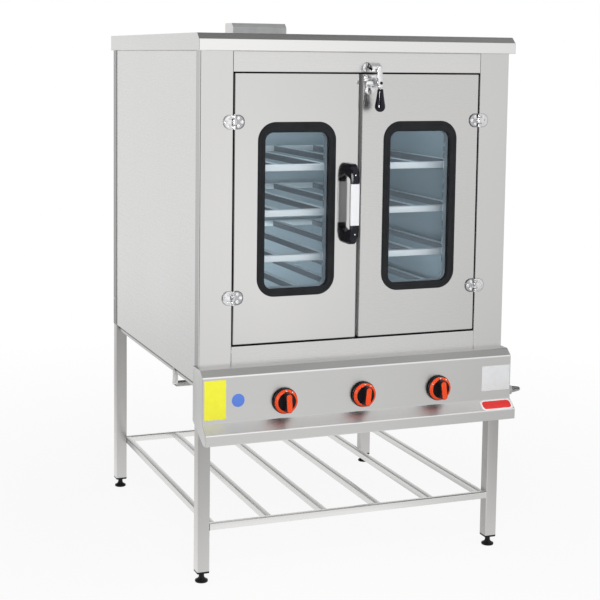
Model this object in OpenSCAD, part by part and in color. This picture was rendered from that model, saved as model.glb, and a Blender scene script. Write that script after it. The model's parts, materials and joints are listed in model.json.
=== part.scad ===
// Gas pastry oven on an open stand, two glazed doors, three gas taps.
// Origin on the floor under the middle of the cabinet. X to the right, Y to the back, Z up.

/* [Cabinet] */
// Width over the side panels
body_w = 1000; // [900:1:1200]
// Depth from the front frame to the rear panel
body_d = 990; // [900:1:1200]
// Height of the underside of the cabinet above the floor
deck_z = 594; // [520:1:750]
// Height of the door sill above the underside of the cabinet
sill_rise = 109; // [100:1:140]
// Height of the door opening
opening_h = 800; // [760:1:1000]
// Height of the head rail over the doors
head_h = 60; // [50:1:100]
// Face width of each front post
post_w = 100; // [80:1:130]
// Depth of the front frame's jambs
jamb_d = 44; // [43:0.5:60]
// Depth of the outer returns of the front frame
return_d = 38; // [30:1:42]
// Width of the lip that the door gasket sits on
stop_lip = 8; // [6:1:14]
// Depth of the rear panel's side returns
rear_return = 43; // [30:1:60]
// Width of the folded edges of the side panels
panel_fold = 20; // [12:1:30]
// Thickness of the sheet steel
sheet = 1.2; // [0.8:0.1:2]

/* [Top cover] */
// Height of the top cover
cover_h = 50; // [40:1:80]
// Height of the cover's upright front edge
fascia_h = 32; // [20:1:36]
// Depth of the sloping band over the front edge
bevel_d = 20; // [10:1:30]
// Overhang of the cover at the front
cover_front = 20; // [10:1:40]
// Overhang of the cover at each side
cover_side = 10; // [5:1:20]
// Width of the cover's flange that lies on the cabinet
cover_flange = 12; // [6:1:18]
// Width of the flue cowl
flue_w = 200; // [150:1:300]
// Depth of the flue cowl
flue_d = 89; // [75:1:100]
// Height of the flue cowl
flue_h = 51; // [35:1:90]
// Depth of the lean of the cowl's front wall
flue_lean = 15; // [5:1:25]
// Height of the cowl's leaning part
flue_lean_h = 14; // [6:1:25]
// Gap between the duct and the cowl at each side
flue_gap = 11; // [6:1:18]
// Depth of the flue duct
duct_d = 30; // [20:1:45]

/* [Stand] */
// Width of a leg tube
leg_t = 38; // [30:1:50]
// Wall of a leg tube
leg_wall = 1.5; // [1:0.1:3]
// Width of the rail tubes
rail_t = 20; // [15:1:25]
// Wall of the rail tubes
rail_wall = 1.2; // [1:0.1:2]
// Height of the top of the undershelf
shelf_z = 178; // [120:1:300]
// Number of slats in the undershelf
slat_n = 4; // [2:1:7]
// Height of the leg ends above the floor
foot_h = 35; // [31:1:50]
// Radius of a foot
foot_r = 19.5; // [15:0.5:28]
// Height of a foot's rim
foot_rim = 5; // [3:0.5:8]
// Radius of a foot's neck
foot_neck_r = 8; // [7:0.5:12]
// Radius of a foot's stud
stud_r = 5; // [3:0.5:6]
// Length of a foot's stud
stud_l = 55; // [50:1:80]
// Thickness of a leg plug's rim
plug_rim = 6; // [3:0.5:8]
// Depth of a leg plug inside its tube
plug_l = 25; // [15:1:35]

/* [Doors] */
// Thickness of a door
door_t = 40; // [30:1:42]
// Gap beside each hinge
side_gap = 4; // [3:0.5:8]
// Gap over the doors
head_gap = 4; // [2:0.5:8]
// Gap under the doors
sill_gap = 5; // [2:0.5:8]
// Gap between the doors
centre_gap = 10; // [8:0.5:14]
// Width of the clear glass
glass_w = 200; // [140:1:230]
// Height of the clear glass
glass_h = 460; // [300:1:560]
// Corner radius of the clear glass
glass_r = 25; // [15:1:40]
// Depth of the outer pane behind the door's face
glass_depth = 12; // [4:0.5:16]
// Distance of the window's middle under the door's middle
window_drop = 6; // [0:1:30]
// Width of the window gasket at its sides
gasket_side = 23; // [18:1:40]
// Width of the window gasket over the glass
gasket_top = 31; // [18:1:40]
// Width of the window gasket under the glass
gasket_foot = 23; // [18:1:40]
// Corner radius of the window gasket
gasket_r = 55; // [40:1:70]
// Height of the window gasket over the door skin
gasket_proud = 3; // [2:0.5:6]
// Thickness of a pane
pane_t = 4; // [3:0.5:6]
// Width of the seal in the gap between the doors
seal_w = 2.5; // [1:0.5:4]
// Thickness of the gasket round the door opening
stop_gasket = 3.6; // [2:0.1:5]

/* [Hinges] */
// Height of a hinge
hinge_h = 42; // [34:1:60]
// Reach of each leaf from the hinge pin
hinge_reach = 36; // [30:1:50]
// Thickness of a leaf
hinge_t = 3; // [2:0.5:4]
// Corner radius of a leaf
hinge_r = 15; // [8:1:16]
// Radius of a hinge barrel
barrel_r = 5; // [4.5:0.5:5.5]
// Radius of a hinge pin
hinge_pin_r = 2.5; // [2:0.5:3]
// Distance of each hinge from its end of the door opening
hinge_inset = 144; // [100:1:200]

/* [Door handle] */
// Length of the bright grip
grip_l = 124; // [90:1:200]
// Width of the grip
grip_w = 28; // [20:1:36]
// Thickness of the grip
grip_t = 14; // [10:1:20]
// Distance of the grip's middle from the door
handle_out = 45; // [38:1:60]
// Length of each end bracket beyond the grip
bracket_l = 58; // [45:1:80]
// Length of a bracket's foot on the door
bracket_foot = 34; // [24:1:42]
// Distance of the handle's middle from the door's free edge
handle_edge = 30; // [24:1:50]
// Height of the handle's middle over the sill
handle_up = 412; // [300:1:450]

/* [Door latch] */
// Distance of the latch pivot from the middle of the oven
latch_x = 40; // [38:1:60]
// Distance of the latch pivot under the top of the opening
latch_drop = 30; // [28:1:33]
// Distance of the lever from the door
latch_out = 50; // [50:1:60]
// Width of the lever arm
lever_w = 18; // [14:1:22]
// Thickness of the lever arm
lever_t = 8; // [6:1:9]
// Height of the lever arm over its pivot
lever_up = 51; // [40:1:60]
// Distance from the pivot down to the grip
lever_down = 17; // [16:1:24]
// Length of the latch grip
latch_grip_l = 68; // [50:1:90]
// Radius of the tang that holds the latch grip
tang_r = 3.5; // [2.5:0.5:4]
// Length of the tang inside the grip
tang_l = 44; // [20:1:46]
// Radius of the latch grip at its top
latch_grip_top_r = 8.5; // [7:0.5:11]
// Radius of the latch grip at its end
latch_grip_end_r = 15.5; // [12:0.5:18]
// Length of the tongue that turns behind the keeper
tongue_l = 38; // [35:1:39]
// Width of the tongue
tongue_w = 12; // [8:1:16]
// Thickness of the tongue
tongue_t = 6; // [4:0.5:8]
// Width of the latch's base plate
latch_base_w = 42; // [40:1:52]
// Height of the latch's base plate
latch_base_h = 60; // [44:1:60]
// Thickness of the latch's base plate
latch_base_t = 6; // [4:1:8]
// Height of the collar that carries the spindle
collar_l = 20; // [12:1:20]
// Radius of the collar
collar_r = 12; // [10:0.5:14]
// Radius of the latch spindle
spindle_r = 6; // [4:0.5:8]
// Width of the keeper on the head rail
keeper_w = 34; // [28:1:40]
// Height of the keeper
keeper_h = 28; // [20:1:34]
// Thickness of the keeper's walls
keeper_t = 5; // [3:0.5:6]
// Width of the keeper's mounting plate
keeper_plate_w = 62; // [54:1:66]
// Height of the keeper's mounting plate
keeper_plate_h = 24; // [16:1:28]
// Thickness of the keeper's mounting plate
keeper_plate_t = 2.5; // [1.5:0.5:3]

/* [Control panel] */
// Width of the control panel
panel_w = 1010; // [1004:1:1020]
// Height of the head of the panel under the door sill
panel_drop = 56; // [45:1:70]
// Depth of the panel's flat top
panel_top_d = 30; // [20:1:45]
// Depth of the panel's upright face in front of the frame
panel_face_d = 52; // [47:1:70]
// Height of the band that slopes down to the face
panel_band_h = 19; // [12:1:30]
// Height of the upright face
panel_face_h = 135; // [100:1:150]
// Depth of the sloping ledge under the face
ledge_d = 33; // [20:1:50]
// Height of the sloping ledge
ledge_h = 26; // [15:1:40]
// Height of the panel's bottom lip
panel_lip_h = 32; // [20:1:45]
// Depth of the panel's bottom fold
panel_under = 25; // [12:1:40]

/* [Gas system] */
// Distance between the middles of the taps
tap_pitch = 252; // [200:1:280]
// Height of the taps over the foot of the upright face
tap_up = 52; // [46:1:80]
// Travel of a knob when it is pushed
push_travel = 4; // [2:0.5:6]
// Radius of a knob's skirt
knob_r = 38.5; // [25:0.5:42]
// Thickness of a knob's skirt
skirt_t = 4; // [3:0.5:6]
// Radius of a knob's drum
drum_r = 36; // [24:0.5:38]
// Width of the sloping ring round a knob's face
ring_w = 10; // [6:0.5:14]
// Height of the sloping ring
ring_h = 7; // [4:0.5:9]
// Height of a knob without its finger bar
knob_h = 21; // [16:1:24]
// Height of a knob's finger bar
bar_h = 17; // [8:1:20]
// Width of a knob's finger bar
bar_w = 14; // [8:1:20]
// Length of a knob's finger bar
bar_l = 54; // [30:1:58]
// Radius of a tap's spindle
tap_spindle_r = 4; // [3:0.5:5]
// Radius of a tap's plunger
plunger_r = 7; // [6:0.5:9]
// Length of a tap's plunger
plunger_l = 22; // [18:1:26]
// Radius of a tap body
tap_r = 15; // [12:0.5:18]
// Length of a tap body
tap_l = 42; // [38:1:44]
// Radius of the gas manifold
manifold_r = 10.6; // [8:0.1:12]
// Bore of the gas manifold
manifold_bore_r = 8; // [5:0.5:8]
// Depth of the manifold in front of the frame
manifold_out = 20; // [18:1:24]
// Height of the taps over the manifold
manifold_down = 34; // [30:1:40]
// Reach of the manifold from the middle of the oven
manifold_reach = 480; // [440:1:495]
// Radius of the gas inlet's male thread
inlet_r = 10.48; // [6:0.01:14]
// Length of the gas inlet's male thread
inlet_l = 32; // [18:1:45]
// Distance of the inlet's hexagon from the manifold's end
inlet_socket = 30; // [28:1:45]
// Length of the inlet's hexagon
hexagon_l = 16; // [10:1:25]
// Radius over the hexagon's corners
hexagon_r = 15.6; // [14:0.1:20]
// Radius of the tap outlet pipes
pipe_r = 5; // [3:0.5:6]
// Height of the burners over the underside of the cabinet
burner_up = 26; // [24:1:40]
// Radius of a burner tube
burner_r = 19; // [14:0.5:20]
// Wall of a burner tube
burner_wall = 1.5; // [1:0.1:3]
// Distance of the burner's mouth from the front frame
burner_y = 16; // [8:1:30]
// Distance of the burner's end from the oven's rear
burner_back = 130; // [100:1:200]

/* [Baking chamber] */
// Distance of the chamber's back wall from the rear panel
chamber_back = 75; // [60:1:120]
// Thickness of the insulation boards
wool_t = 50; // [25:1:55]
// Top of the lowest rack over the sill
rack_low = 117; // [80:1:180]
// Distance between racks
rack_pitch = 136; // [100:1:160]
// Side clearance of a rack in the chamber
rack_clear = 10; // [9:0.5:16]
// Distance of the racks from the front frame
rack_y = 70; // [60:1:100]
// Gap behind the racks
rack_back = 10; // [5:1:30]
// Number of slats in a rack
rack_slat_n = 4; // [2:1:6]
// Width of the rack tubes
rack_t = 20; // [12:1:25]
// Width of the rack runners' legs
runner_leg = 22; // [18:1:30]
// Thickness of the rack runners
runner_t = 2; // [1:0.5:3]

/* [Undertray] */
// Distance of the tray from the front frame
tray_y = 266; // [120:1:400]
// Depth of the tray
tray_d = 30; // [20:1:80]
// Height of the tray's lips
tray_lip = 12; // [8:1:20]
// Drop of the tray below the cabinet
tray_drop = 65; // [45:1:90]
// Width of the hanger at each end of the tray
hanger_w = 17; // [14:1:30]

/* [Hidden] */
$fn = 48;
// Clearance round a turning or sliding shaft
run_fit = 0.08;
// Play between the knuckles of a hinge
end_play = 0.3;
// Gap left between tubes that are welded edge to edge
weld_gap = 0.1;
// Overrun that makes a cut pass right through
cut = 1;

front_y = -body_d / 2;
rear_y = body_d / 2;
half_w = body_w / 2;
half_open = half_w - post_w;
sill_z = deck_z + sill_rise;
head_z = sill_z + opening_h;
roof_z = head_z + head_h;
cover_top = roof_z + cover_h;
frame_back = front_y + jamb_d + sheet;

// Stand
leg_mid = leg_t / 2;
leg_x = half_w - leg_mid;
leg_y = body_d / 2 - leg_mid;
shelf_rail_x = half_w - leg_t - rail_t / 2 - weld_gap;
slat_pitch = 2 * shelf_rail_x / (slat_n + 1);
neck_z = foot_h - plug_rim;

// Doors
door_w = half_open - side_gap - centre_gap / 2;
door_h = opening_h - head_gap - sill_gap;
door_z = sill_z + sill_gap;
door_left = -half_open + side_gap;
door_mid_x = door_left + door_w / 2;
window_z = door_z + door_h / 2 - window_drop;
door_back = front_y + door_t;
liner_front = door_back - sheet;
pane_y = front_y + glass_depth;
// Width of the step round the clear glass that holds the pane
throat = 12;
// Width of the rubber round the pane's edge
bead = 4;
inner_pane_y = liner_front - pane_t - 1;

// Hinges
hinge_x = half_open - side_gap / 2;
hinge_y = front_y - barrel_r - 1;
hinge_zs = [sill_z + hinge_inset, head_z - hinge_inset];
knuckle_h = hinge_h * 0.28;
leaf_start = barrel_r + 2;

// Handle
handle_x = -centre_gap / 2 - handle_edge;
handle_z = sill_z + handle_up;
grip_y = front_y - handle_out;

// Latch
latch_z = head_z - latch_drop;
lever_y = front_y - latch_out;
collar_y = front_y - latch_base_t - collar_l;
tongue_y = collar_y - 1 - tongue_t;
keeper_x = latch_x - 5;
keeper_z = head_z + 3;
keeper_lip_y = tongue_y - 3 - keeper_t;
keeper_roof_z = latch_z + tongue_l + 3;

// Control panel
panel_top = sill_z - panel_drop;
face_top = panel_top - panel_band_h;
face_foot = face_top - panel_face_h;
ledge_z = face_foot - ledge_h;
lip_z = ledge_z - panel_lip_h;
face_y = front_y - panel_face_d;
lip_y = face_y - ledge_d;
half_panel = panel_w / 2;

// Gas system
tap_z = face_foot + tap_up;
tap_xs = [-tap_pitch, 0, tap_pitch];
tap_front = face_y + sheet;
knob_back = face_y - push_travel - 1;
knob_front = knob_back - knob_h;
plunger_front = face_y - 1;
plunger_back = plunger_front + plunger_l;
manifold_y = front_y - manifold_out;
manifold_z = tap_z - manifold_down;
burner_z = deck_z + burner_up;

// Baking chamber
chamber_front = frame_back;
chamber_rear = rear_y - chamber_back;
chamber_floor_z = sill_z - 3;
chamber_top_z = head_z + 4;
chamber_roof = chamber_top_z + weld_gap + sheet;
rack_half = half_open - rack_clear;
rack_front = front_y + rack_y;
rack_rear = chamber_rear - rack_back;
rack_slat_pitch = (2 * rack_half - rack_t) / (rack_slat_n + 1);
rack_tops = [for (i = [0:3]) sill_z + rack_low + i * rack_pitch];

// Flue
duct_half = flue_w / 2 - flue_gap - 4;
duct_rear = chamber_rear - 2;
duct_front = duct_rear - duct_d;
flue_front = duct_front - flue_lean - 2;
flue_rear = flue_front + flue_d;

// A block between its lowest and highest corners.
module block(low, high) {
    translate(low) cube(high - low);
}

// Outlines drawn in Y and Z, X and Z, or X and Y, drawn out along the third axis.
module along_x(x0, x1) {
    translate([x0, 0, 0]) rotate([90, 0, 90]) linear_extrude(x1 - x0) children();
}

module along_y(y0, y1) {
    translate([0, y1, 0]) rotate([90, 0, 0]) linear_extrude(y1 - y0) children();
}

module along_z(z0, z1) {
    translate([0, 0, z0]) linear_extrude(z1 - z0) children();
}

// The same shape on the left and on the right of the oven.
module both_sides() {
    children();
    mirror([1, 0, 0]) children();
}

// Square tubes, open at both ends.
module tube_x(x0, x1, y, z, width, wall) {
    difference() {
        block([x0, y, z], [x1, y + width, z + width]);
        block([x0 - cut, y + wall, z + wall], [x1 + cut, y + width - wall, z + width - wall]);
    }
}

module tube_y(x, y0, y1, z, width, wall) {
    difference() {
        block([x, y0, z], [x + width, y1, z + width]);
        block([x + wall, y0 - cut, z + wall], [x + width - wall, y1 + cut, z + width - wall]);
    }
}

module tube_z(x, y, z0, z1, width, wall) {
    difference() {
        block([x, y, z0], [x + width, y + width, z1]);
        block([x + wall, y + wall, z0 - cut], [x + width - wall, y + width - wall, z1 + cut]);
    }
}

// A cylinder along Y between two depths.
module rod_y(x, z, y0, y1, r) {
    translate([x, y1, z]) rotate([90, 0, 0]) cylinder(h = y1 - y0, r = r);
}

// A cylinder along X between two places.
module rod_x(y, z, x0, x1, r) {
    translate([x0, y, z]) rotate([0, 90, 0]) cylinder(h = x1 - x0, r = r);
}

function unit(v) = v / norm(v);
function left_normal(v) = [-v[1], v[0]];

// A corner of a bent sheet's second face, mitred between the folds beside it.
function fold_corner(path, i, t) =
    let (last = len(path) - 1)
    let (before = unit(path[max(i, 1)] - path[max(i, 1) - 1]))
    let (after = unit(path[min(i, last - 1) + 1] - path[min(i, last - 1)]))
    let (a = left_normal(before), b = left_normal(after))
    path[i] + t * (a + b) / (1 + a * b);

// The section of a bent sheet: its second face lies to the left of the path.
module bent_sheet(path, t = sheet) {
    polygon(concat(path, [for (i = [len(path) - 1:-1:0]) fold_corner(path, i, t)]));
}

// A rectangle with round corners, centred.
module round_rect(w, h, r) {
    square([w - 2 * r, h], center = true);
    square([w, h - 2 * r], center = true);
    for (sx = [-1, 1], sz = [-1, 1]) {
        translate([sx * (w / 2 - r), sz * (h / 2 - r)]) circle(r = r);
    }
}

// The middles of the four legs.
module at_legs() {
    for (sx = [-1, 1], sy = [-1, 1]) {
        translate([sx * leg_x, sy * leg_y, 0]) children();
    }
}

module legs() {
    color("silver") at_legs() tube_z(-leg_mid, -leg_mid, foot_h, deck_z, leg_t, leg_wall);
}

module leg_plugs() {
    inner = leg_mid - leg_wall - 0.2;
    color("black") at_legs() difference() {
        union() {
            block([-leg_mid, -leg_mid, neck_z], [leg_mid, leg_mid, foot_h]);
            block([-inner, -inner, neck_z], [inner, inner, foot_h + plug_l]);
        }
        translate([0, 0, neck_z - cut]) cylinder(h = plug_rim + plug_l + 2 * cut, r = stud_r + run_fit);
    }
}

module stand_top_rails() {
    z = deck_z - rail_t;
    gap_x = half_w - leg_t;
    gap_y = rear_y - leg_t;
    color("silver") {
        for (y = [-leg_y, leg_y]) tube_x(-gap_x, gap_x, y - rail_t / 2, z, rail_t, rail_wall);
        for (x = [-leg_x, leg_x]) tube_y(x - rail_t / 2, -gap_y, gap_y, z, rail_t, rail_wall);
    }
}

module undershelf_rails() {
    z = shelf_z - rail_t;
    reach = half_w - leg_t;
    inner_y = rear_y - rail_t - weld_gap;
    color("silver") {
        tube_x(-reach, reach, front_y, z, rail_t, rail_wall);
        tube_x(-reach, reach, rear_y - rail_t, z, rail_t, rail_wall);
        for (sx = [-1, 1]) {
            tube_y(sx * shelf_rail_x - rail_t / 2, -inner_y, inner_y, z, rail_t, rail_wall);
        }
    }
}

module undershelf_slats() {
    inner_y = rear_y - rail_t;
    color("silver") for (i = [1:slat_n]) {
        x = -shelf_rail_x + i * slat_pitch;
        tube_y(x - rail_t / 2, -inner_y, inner_y, shelf_z - rail_t, rail_t, rail_wall);
    }
}

module foot() {
    color("black") {
        rotate_extrude() polygon([
            [0, 0], [foot_r, 0], [foot_r, foot_rim], [foot_r - 2.5, foot_rim + 3],
            [foot_neck_r, foot_rim + 9], [foot_neck_r, neck_z], [0, neck_z]
        ]);
        translate([0, 0, neck_z]) cylinder(h = stud_l, r = stud_r);
    }
}

module foot_front_left() {
    translate([-leg_x, -leg_y, 0]) foot();
}

module foot_front_right() {
    translate([leg_x, -leg_y, 0]) foot();
}

module foot_rear_left() {
    translate([-leg_x, leg_y, 0]) foot();
}

module foot_rear_right() {
    translate([leg_x, leg_y, 0]) foot();
}

module left_side_panel() {
    color("gainsboro") along_y(front_y + return_d, rear_y - sheet - weld_gap) bent_sheet([
        [panel_fold - half_w, roof_z], [-half_w, roof_z], [-half_w, deck_z], [panel_fold - half_w, deck_z]
    ]);
}

module right_side_panel() {
    mirror([1, 0, 0]) left_side_panel();
}

module rear_panel() {
    x = half_w + weld_gap + sheet;
    y = rear_y - rear_return;
    color("gainsboro") along_z(deck_z, roof_z) bent_sheet([[x, y], [x, rear_y], [-x, rear_y], [-x, y]]);
}

module base_panel() {
    color("silver") difference() {
        block(
            [-half_w + sheet, frame_back + 0.3, deck_z + sheet],
            [half_w - sheet, rear_y - sheet, deck_z + 2 * sheet]
        );
        for (x = tap_xs) {
            block(
                [x - burner_r, frame_back + 50, deck_z],
                [x + burner_r, rear_y - burner_back - 80, deck_z + 10]
            );
        }
    }
}

// The section of the top cover's front, top and back.
cover_path = [
    [rear_y, roof_z], [rear_y, cover_top], [front_y - cover_front + bevel_d, cover_top],
    [front_y - cover_front, roof_z + fascia_h], [front_y - cover_front, roof_z],
    [front_y + cover_flange, roof_z]
];

module top_cover() {
    side = half_w + cover_side;
    color("gainsboro") difference() {
        union() {
            along_x(-side, side) bent_sheet(cover_path);
            both_sides() {
                along_x(side - sheet, side) polygon([for (i = [0:4]) cover_path[i]]);
                block(
                    [half_w - cover_flange, front_y - cover_front, roof_z],
                    [side, rear_y, roof_z + sheet]
                );
            }
        }
        block(
            [-duct_half - sheet - 1, duct_front - sheet - 1, roof_z],
            [duct_half + sheet + 1, duct_rear + sheet + 1, cover_top + cut]
        );
    }
}

module flue_cowl() {
    top = cover_top + flue_h;
    bend = top - flue_lean_h;
    half = flue_w / 2;
    color("silver") {
        along_x(-half, half) bent_sheet([
            [flue_front + flue_lean, top], [flue_front, bend], [flue_front, cover_top]
        ]);
        block([-half, flue_rear - sheet, cover_top], [half, flue_rear, top]);
        both_sides() along_x(half - sheet, half) polygon([
            [flue_rear, cover_top], [flue_rear, top], [flue_front + flue_lean, top],
            [flue_front, bend], [flue_front, cover_top]
        ]);
    }
}

module flue_duct() {
    top = cover_top + flue_h * 0.4;
    color("silver") difference() {
        block(
            [-duct_half - sheet, duct_front - sheet, chamber_roof],
            [duct_half + sheet, duct_rear + sheet, top]
        );
        block([-duct_half, duct_front, chamber_roof - cut], [duct_half, duct_rear, top + cut]);
    }
}

// The opening through which the flue duct leaves the chamber.
module duct_cut(z0, z1, room) {
    block(
        [-duct_half - sheet - room, duct_front - sheet - room, z0],
        [duct_half + sheet + room, duct_rear + sheet + room, z1]
    );
}

module front_posts() {
    color("gainsboro") both_sides() along_z(deck_z, roof_z) bent_sheet([
        [-half_w, front_y + return_d], [-half_w, front_y], [-half_open, front_y],
        [-half_open, front_y + jamb_d], [-half_open + stop_lip, front_y + jamb_d]
    ]);
}

// Removes the ends of a rail's stop lip, where the posts' lips run past it.
module lip_ends(z0, z1) {
    both_sides() block(
        [half_open - stop_lip, front_y + jamb_d - 0.1, z0], [half_open + cut, frame_back + cut, z1]
    );
}

module front_top_rail() {
    color("gainsboro") difference() {
        along_x(-half_open, half_open) bent_sheet([
            [front_y + return_d, roof_z], [front_y, roof_z], [front_y, head_z],
            [front_y + jamb_d, head_z], [front_y + jamb_d, head_z - stop_lip]
        ]);
        lip_ends(head_z - stop_lip - cut, head_z + 2 * sheet);
    }
}

module front_bottom_rail() {
    color("gainsboro") difference() {
        along_x(-half_open, half_open) bent_sheet([
            [front_y + jamb_d, sill_z + stop_lip], [front_y + jamb_d, sill_z], [front_y, sill_z],
            [front_y, deck_z], [front_y + return_d, deck_z]
        ]);
        lip_ends(sill_z - 2 * sheet, sill_z + stop_lip + cut);
        for (x = tap_xs) rod_y(x, burner_z, front_y - cut, front_y + sheet + cut, pipe_r + 6);
    }
}

module chamber_panels() {
    low = chamber_floor_z;
    high = chamber_top_z;
    color("lightsteelblue") {
        both_sides() block([half_open, chamber_front, low], [half_open + sheet, chamber_rear, high]);
        block(
            [-half_open, chamber_rear + weld_gap, low], [half_open, chamber_rear + weld_gap + sheet, high]
        );
        difference() {
            block(
                [-half_open, chamber_front, high + weld_gap],
                [half_open, chamber_rear, chamber_roof]
            );
            block([-duct_half, duct_front, high], [duct_half, duct_rear, high + 2 * sheet]);
        }
    }
}

module chamber_floor() {
    slots = 5;
    pitch = (chamber_rear - chamber_front) / slots;
    color("slategray") difference() {
        block(
            [-half_open, chamber_front, chamber_floor_z - weld_gap - sheet],
            [half_open, chamber_rear, chamber_floor_z - weld_gap]
        );
        for (i = [0:slots - 1], x = [-half_open + 40, -tap_pitch / 2, tap_pitch / 2, half_open - 40]) {
            y = chamber_front + (i + 0.5) * pitch;
            block(
                [x - 8, y - pitch * 0.35, chamber_floor_z - 10],
                [x + 8, y + pitch * 0.35, chamber_floor_z + cut]
            );
        }
    }
}

module insulation() {
    side = half_open + sheet + 0.3;
    top = chamber_roof + 0.3;
    color("khaki") {
        both_sides() block(
            [side, chamber_front + 15, chamber_floor_z], [side + wool_t, chamber_rear, chamber_top_z]
        );
        block(
            [-half_open, chamber_rear + sheet + 0.5, chamber_floor_z],
            [half_open, chamber_rear + sheet + 0.5 + wool_t, chamber_top_z]
        );
        difference() {
            block([-half_open, chamber_front + 15, top], [half_open, chamber_rear, top + wool_t * 0.8]);
            duct_cut(top - cut, top + wool_t, 1);
        }
    }
}

module rack_runners() {
    color("silver") both_sides() for (top = rack_tops) {
        z = top - rack_t - runner_t;
        along_y(rack_front + 5, rack_rear) bent_sheet([
            [-half_open, z + runner_leg], [-half_open, z], [-half_open + runner_leg, z]
        ], runner_t);
    }
}

// One removable rack: a welded grid of square tubes.
module rack(top) {
    z = top - rack_t;
    wall = rail_wall;
    mid = rack_t / 2;
    xs = [for (i = [0:rack_slat_n + 1]) -rack_half + i * rack_slat_pitch];
    color("gainsboro") difference() {
        union() {
            for (y = [rack_front, rack_rear - rack_t]) {
                block([-rack_half, y, z], [rack_half, y + rack_t, top]);
            }
            for (x = xs) block([x, rack_front + mid, z], [x + rack_t, rack_rear - mid, top]);
        }
        for (y = [rack_front, rack_rear - rack_t]) {
            block(
                [-rack_half - cut, y + wall, z + wall], [rack_half + cut, y + rack_t - wall, top - wall]
            );
        }
        for (x = xs) block(
            [x + wall, rack_front + mid, z + wall], [x + rack_t - wall, rack_rear - mid, top - wall]
        );
    }
}

module rack_1() {
    rack(rack_tops[0]);
}

module rack_2() {
    rack(rack_tops[1]);
}

module rack_3() {
    rack(rack_tops[2]);
}

module rack_4() {
    rack(rack_tops[3]);
}

module burners() {
    mouth = front_y + burner_y;
    end = rear_y - burner_back;
    color("dimgray") for (x = tap_xs) {
        difference() {
            union() {
                rod_y(x, burner_z, mouth, end, burner_r);
                for (y = [mouth + 50, end - 60]) {
                    block([x - 10, y, deck_z + 2 * sheet], [x + 10, y + 20, burner_z]);
                }
            }
            rod_y(x, burner_z, mouth - cut, end - burner_wall, burner_r - burner_wall);
            block([x - 1, mouth + 140, burner_z], [x + 1, end - 30, burner_z + burner_r + cut]);
        }
    }
}

module gas_manifold() {
    color("goldenrod") difference() {
        union() {
            rod_x(manifold_y, manifold_z, -manifold_reach + 20, manifold_reach, manifold_r);
            rod_x(manifold_y, manifold_z, -manifold_reach + 6, -manifold_reach + 22, manifold_r + 2.5);
        }
        rod_x(manifold_y, manifold_z, -manifold_reach + 14, manifold_reach + cut, manifold_bore_r);
    }
}

module gas_inlet() {
    hexagon_x = manifold_reach + inlet_socket;
    thread_x = hexagon_x + hexagon_l;
    color("silver") difference() {
        union() {
            rod_x(manifold_y, manifold_z, manifold_reach, hexagon_x + 2, manifold_r + 0.8);
            translate([hexagon_x, manifold_y, manifold_z]) rotate([0, 90, 0]) {
                cylinder(h = hexagon_l, r = hexagon_r, $fn = 6);
            }
            rod_x(manifold_y, manifold_z, thread_x - 1, thread_x + inlet_l, inlet_r);
        }
        rod_x(manifold_y, manifold_z, manifold_reach - cut, thread_x + inlet_l + cut, inlet_r - 3.5);
    }
}

module tap_bodies() {
    color("goldenrod") for (x = tap_xs) difference() {
        union() {
            rod_y(x, tap_z, tap_front, tap_front + tap_l, tap_r);
            translate([x, manifold_y, manifold_z]) cylinder(h = manifold_down, r = pipe_r + 2);
            translate([x, manifold_y, tap_z]) cylinder(h = burner_z - tap_z, r = pipe_r);
            translate([x, manifold_y, burner_z]) sphere(r = pipe_r);
            rod_y(x, burner_z, manifold_y, front_y + burner_y + 6, pipe_r);
        }
        rod_y(x, tap_z, tap_front - cut, plunger_back + push_travel + 1, plunger_r + run_fit);
        rod_x(manifold_y, manifold_z, x - tap_r, x + tap_r, manifold_r + weld_gap);
    }
}

module tap_plunger(x) {
    color("goldenrod") difference() {
        rod_y(x, tap_z, plunger_front, plunger_back, plunger_r);
        rod_y(x, tap_z, plunger_front - cut, plunger_back + cut, tap_spindle_r + run_fit);
    }
}

module tap_plunger_left() {
    tap_plunger(tap_xs[0]);
}

module tap_plunger_middle() {
    tap_plunger(tap_xs[1]);
}

module tap_plunger_right() {
    tap_plunger(tap_xs[2]);
}

// A knob with its spindle, turned from a profile of radius and height.
module knob(x) {
    color("black") translate([x, 0, tap_z]) {
        translate([0, knob_back, 0]) rotate([90, 0, 0]) rotate_extrude() polygon([
            [0, 0], [knob_r, 0], [knob_r, skirt_t], [drum_r, skirt_t], [drum_r, knob_h - ring_h],
            [drum_r - ring_w, knob_h], [0, knob_h]
        ]);
        along_y(knob_front - bar_h, knob_front) round_rect(bar_w, bar_l, bar_w * 0.4);
        rod_y(0, 0, knob_back, plunger_back - 2, tap_spindle_r);
    }
}

module knob_left() {
    knob(tap_xs[0]);
}

module knob_middle() {
    knob(tap_xs[1]);
}

module knob_right() {
    knob(tap_xs[2]);
}

// The section of the control panel from its top to its bottom fold.
panel_path = [
    [front_y, panel_top], [front_y - panel_top_d, panel_top], [face_y, face_top], [face_y, face_foot],
    [lip_y, ledge_z], [lip_y, lip_z], [lip_y + panel_under, lip_z]
];

module control_panel() {
    cap = half_panel - half_w;
    back_y = front_y + return_d;
    cap_back_z = face_foot - 10;
    outline = concat([for (i = [1:6]) panel_path[i]], [[back_y, cap_back_z], [back_y, panel_top]]);
    color("silver") difference() {
        union() {
            along_x(-half_panel, half_panel) bent_sheet(panel_path);
            both_sides() {
                along_x(half_panel - sheet, half_panel) polygon(outline);
                block([half_w, back_y - sheet, cap_back_z], [half_panel, back_y, panel_top]);
                block([half_w, front_y - cut, panel_top - sheet], [half_panel, back_y, panel_top]);
            }
        }
        for (x = tap_xs) rod_y(x, tap_z, face_y - cut, face_y + sheet + cut, plunger_r + 2);
        rod_x(manifold_y, manifold_z, half_panel - 4, half_panel + cut, manifold_r + 3);
    }
}

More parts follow.
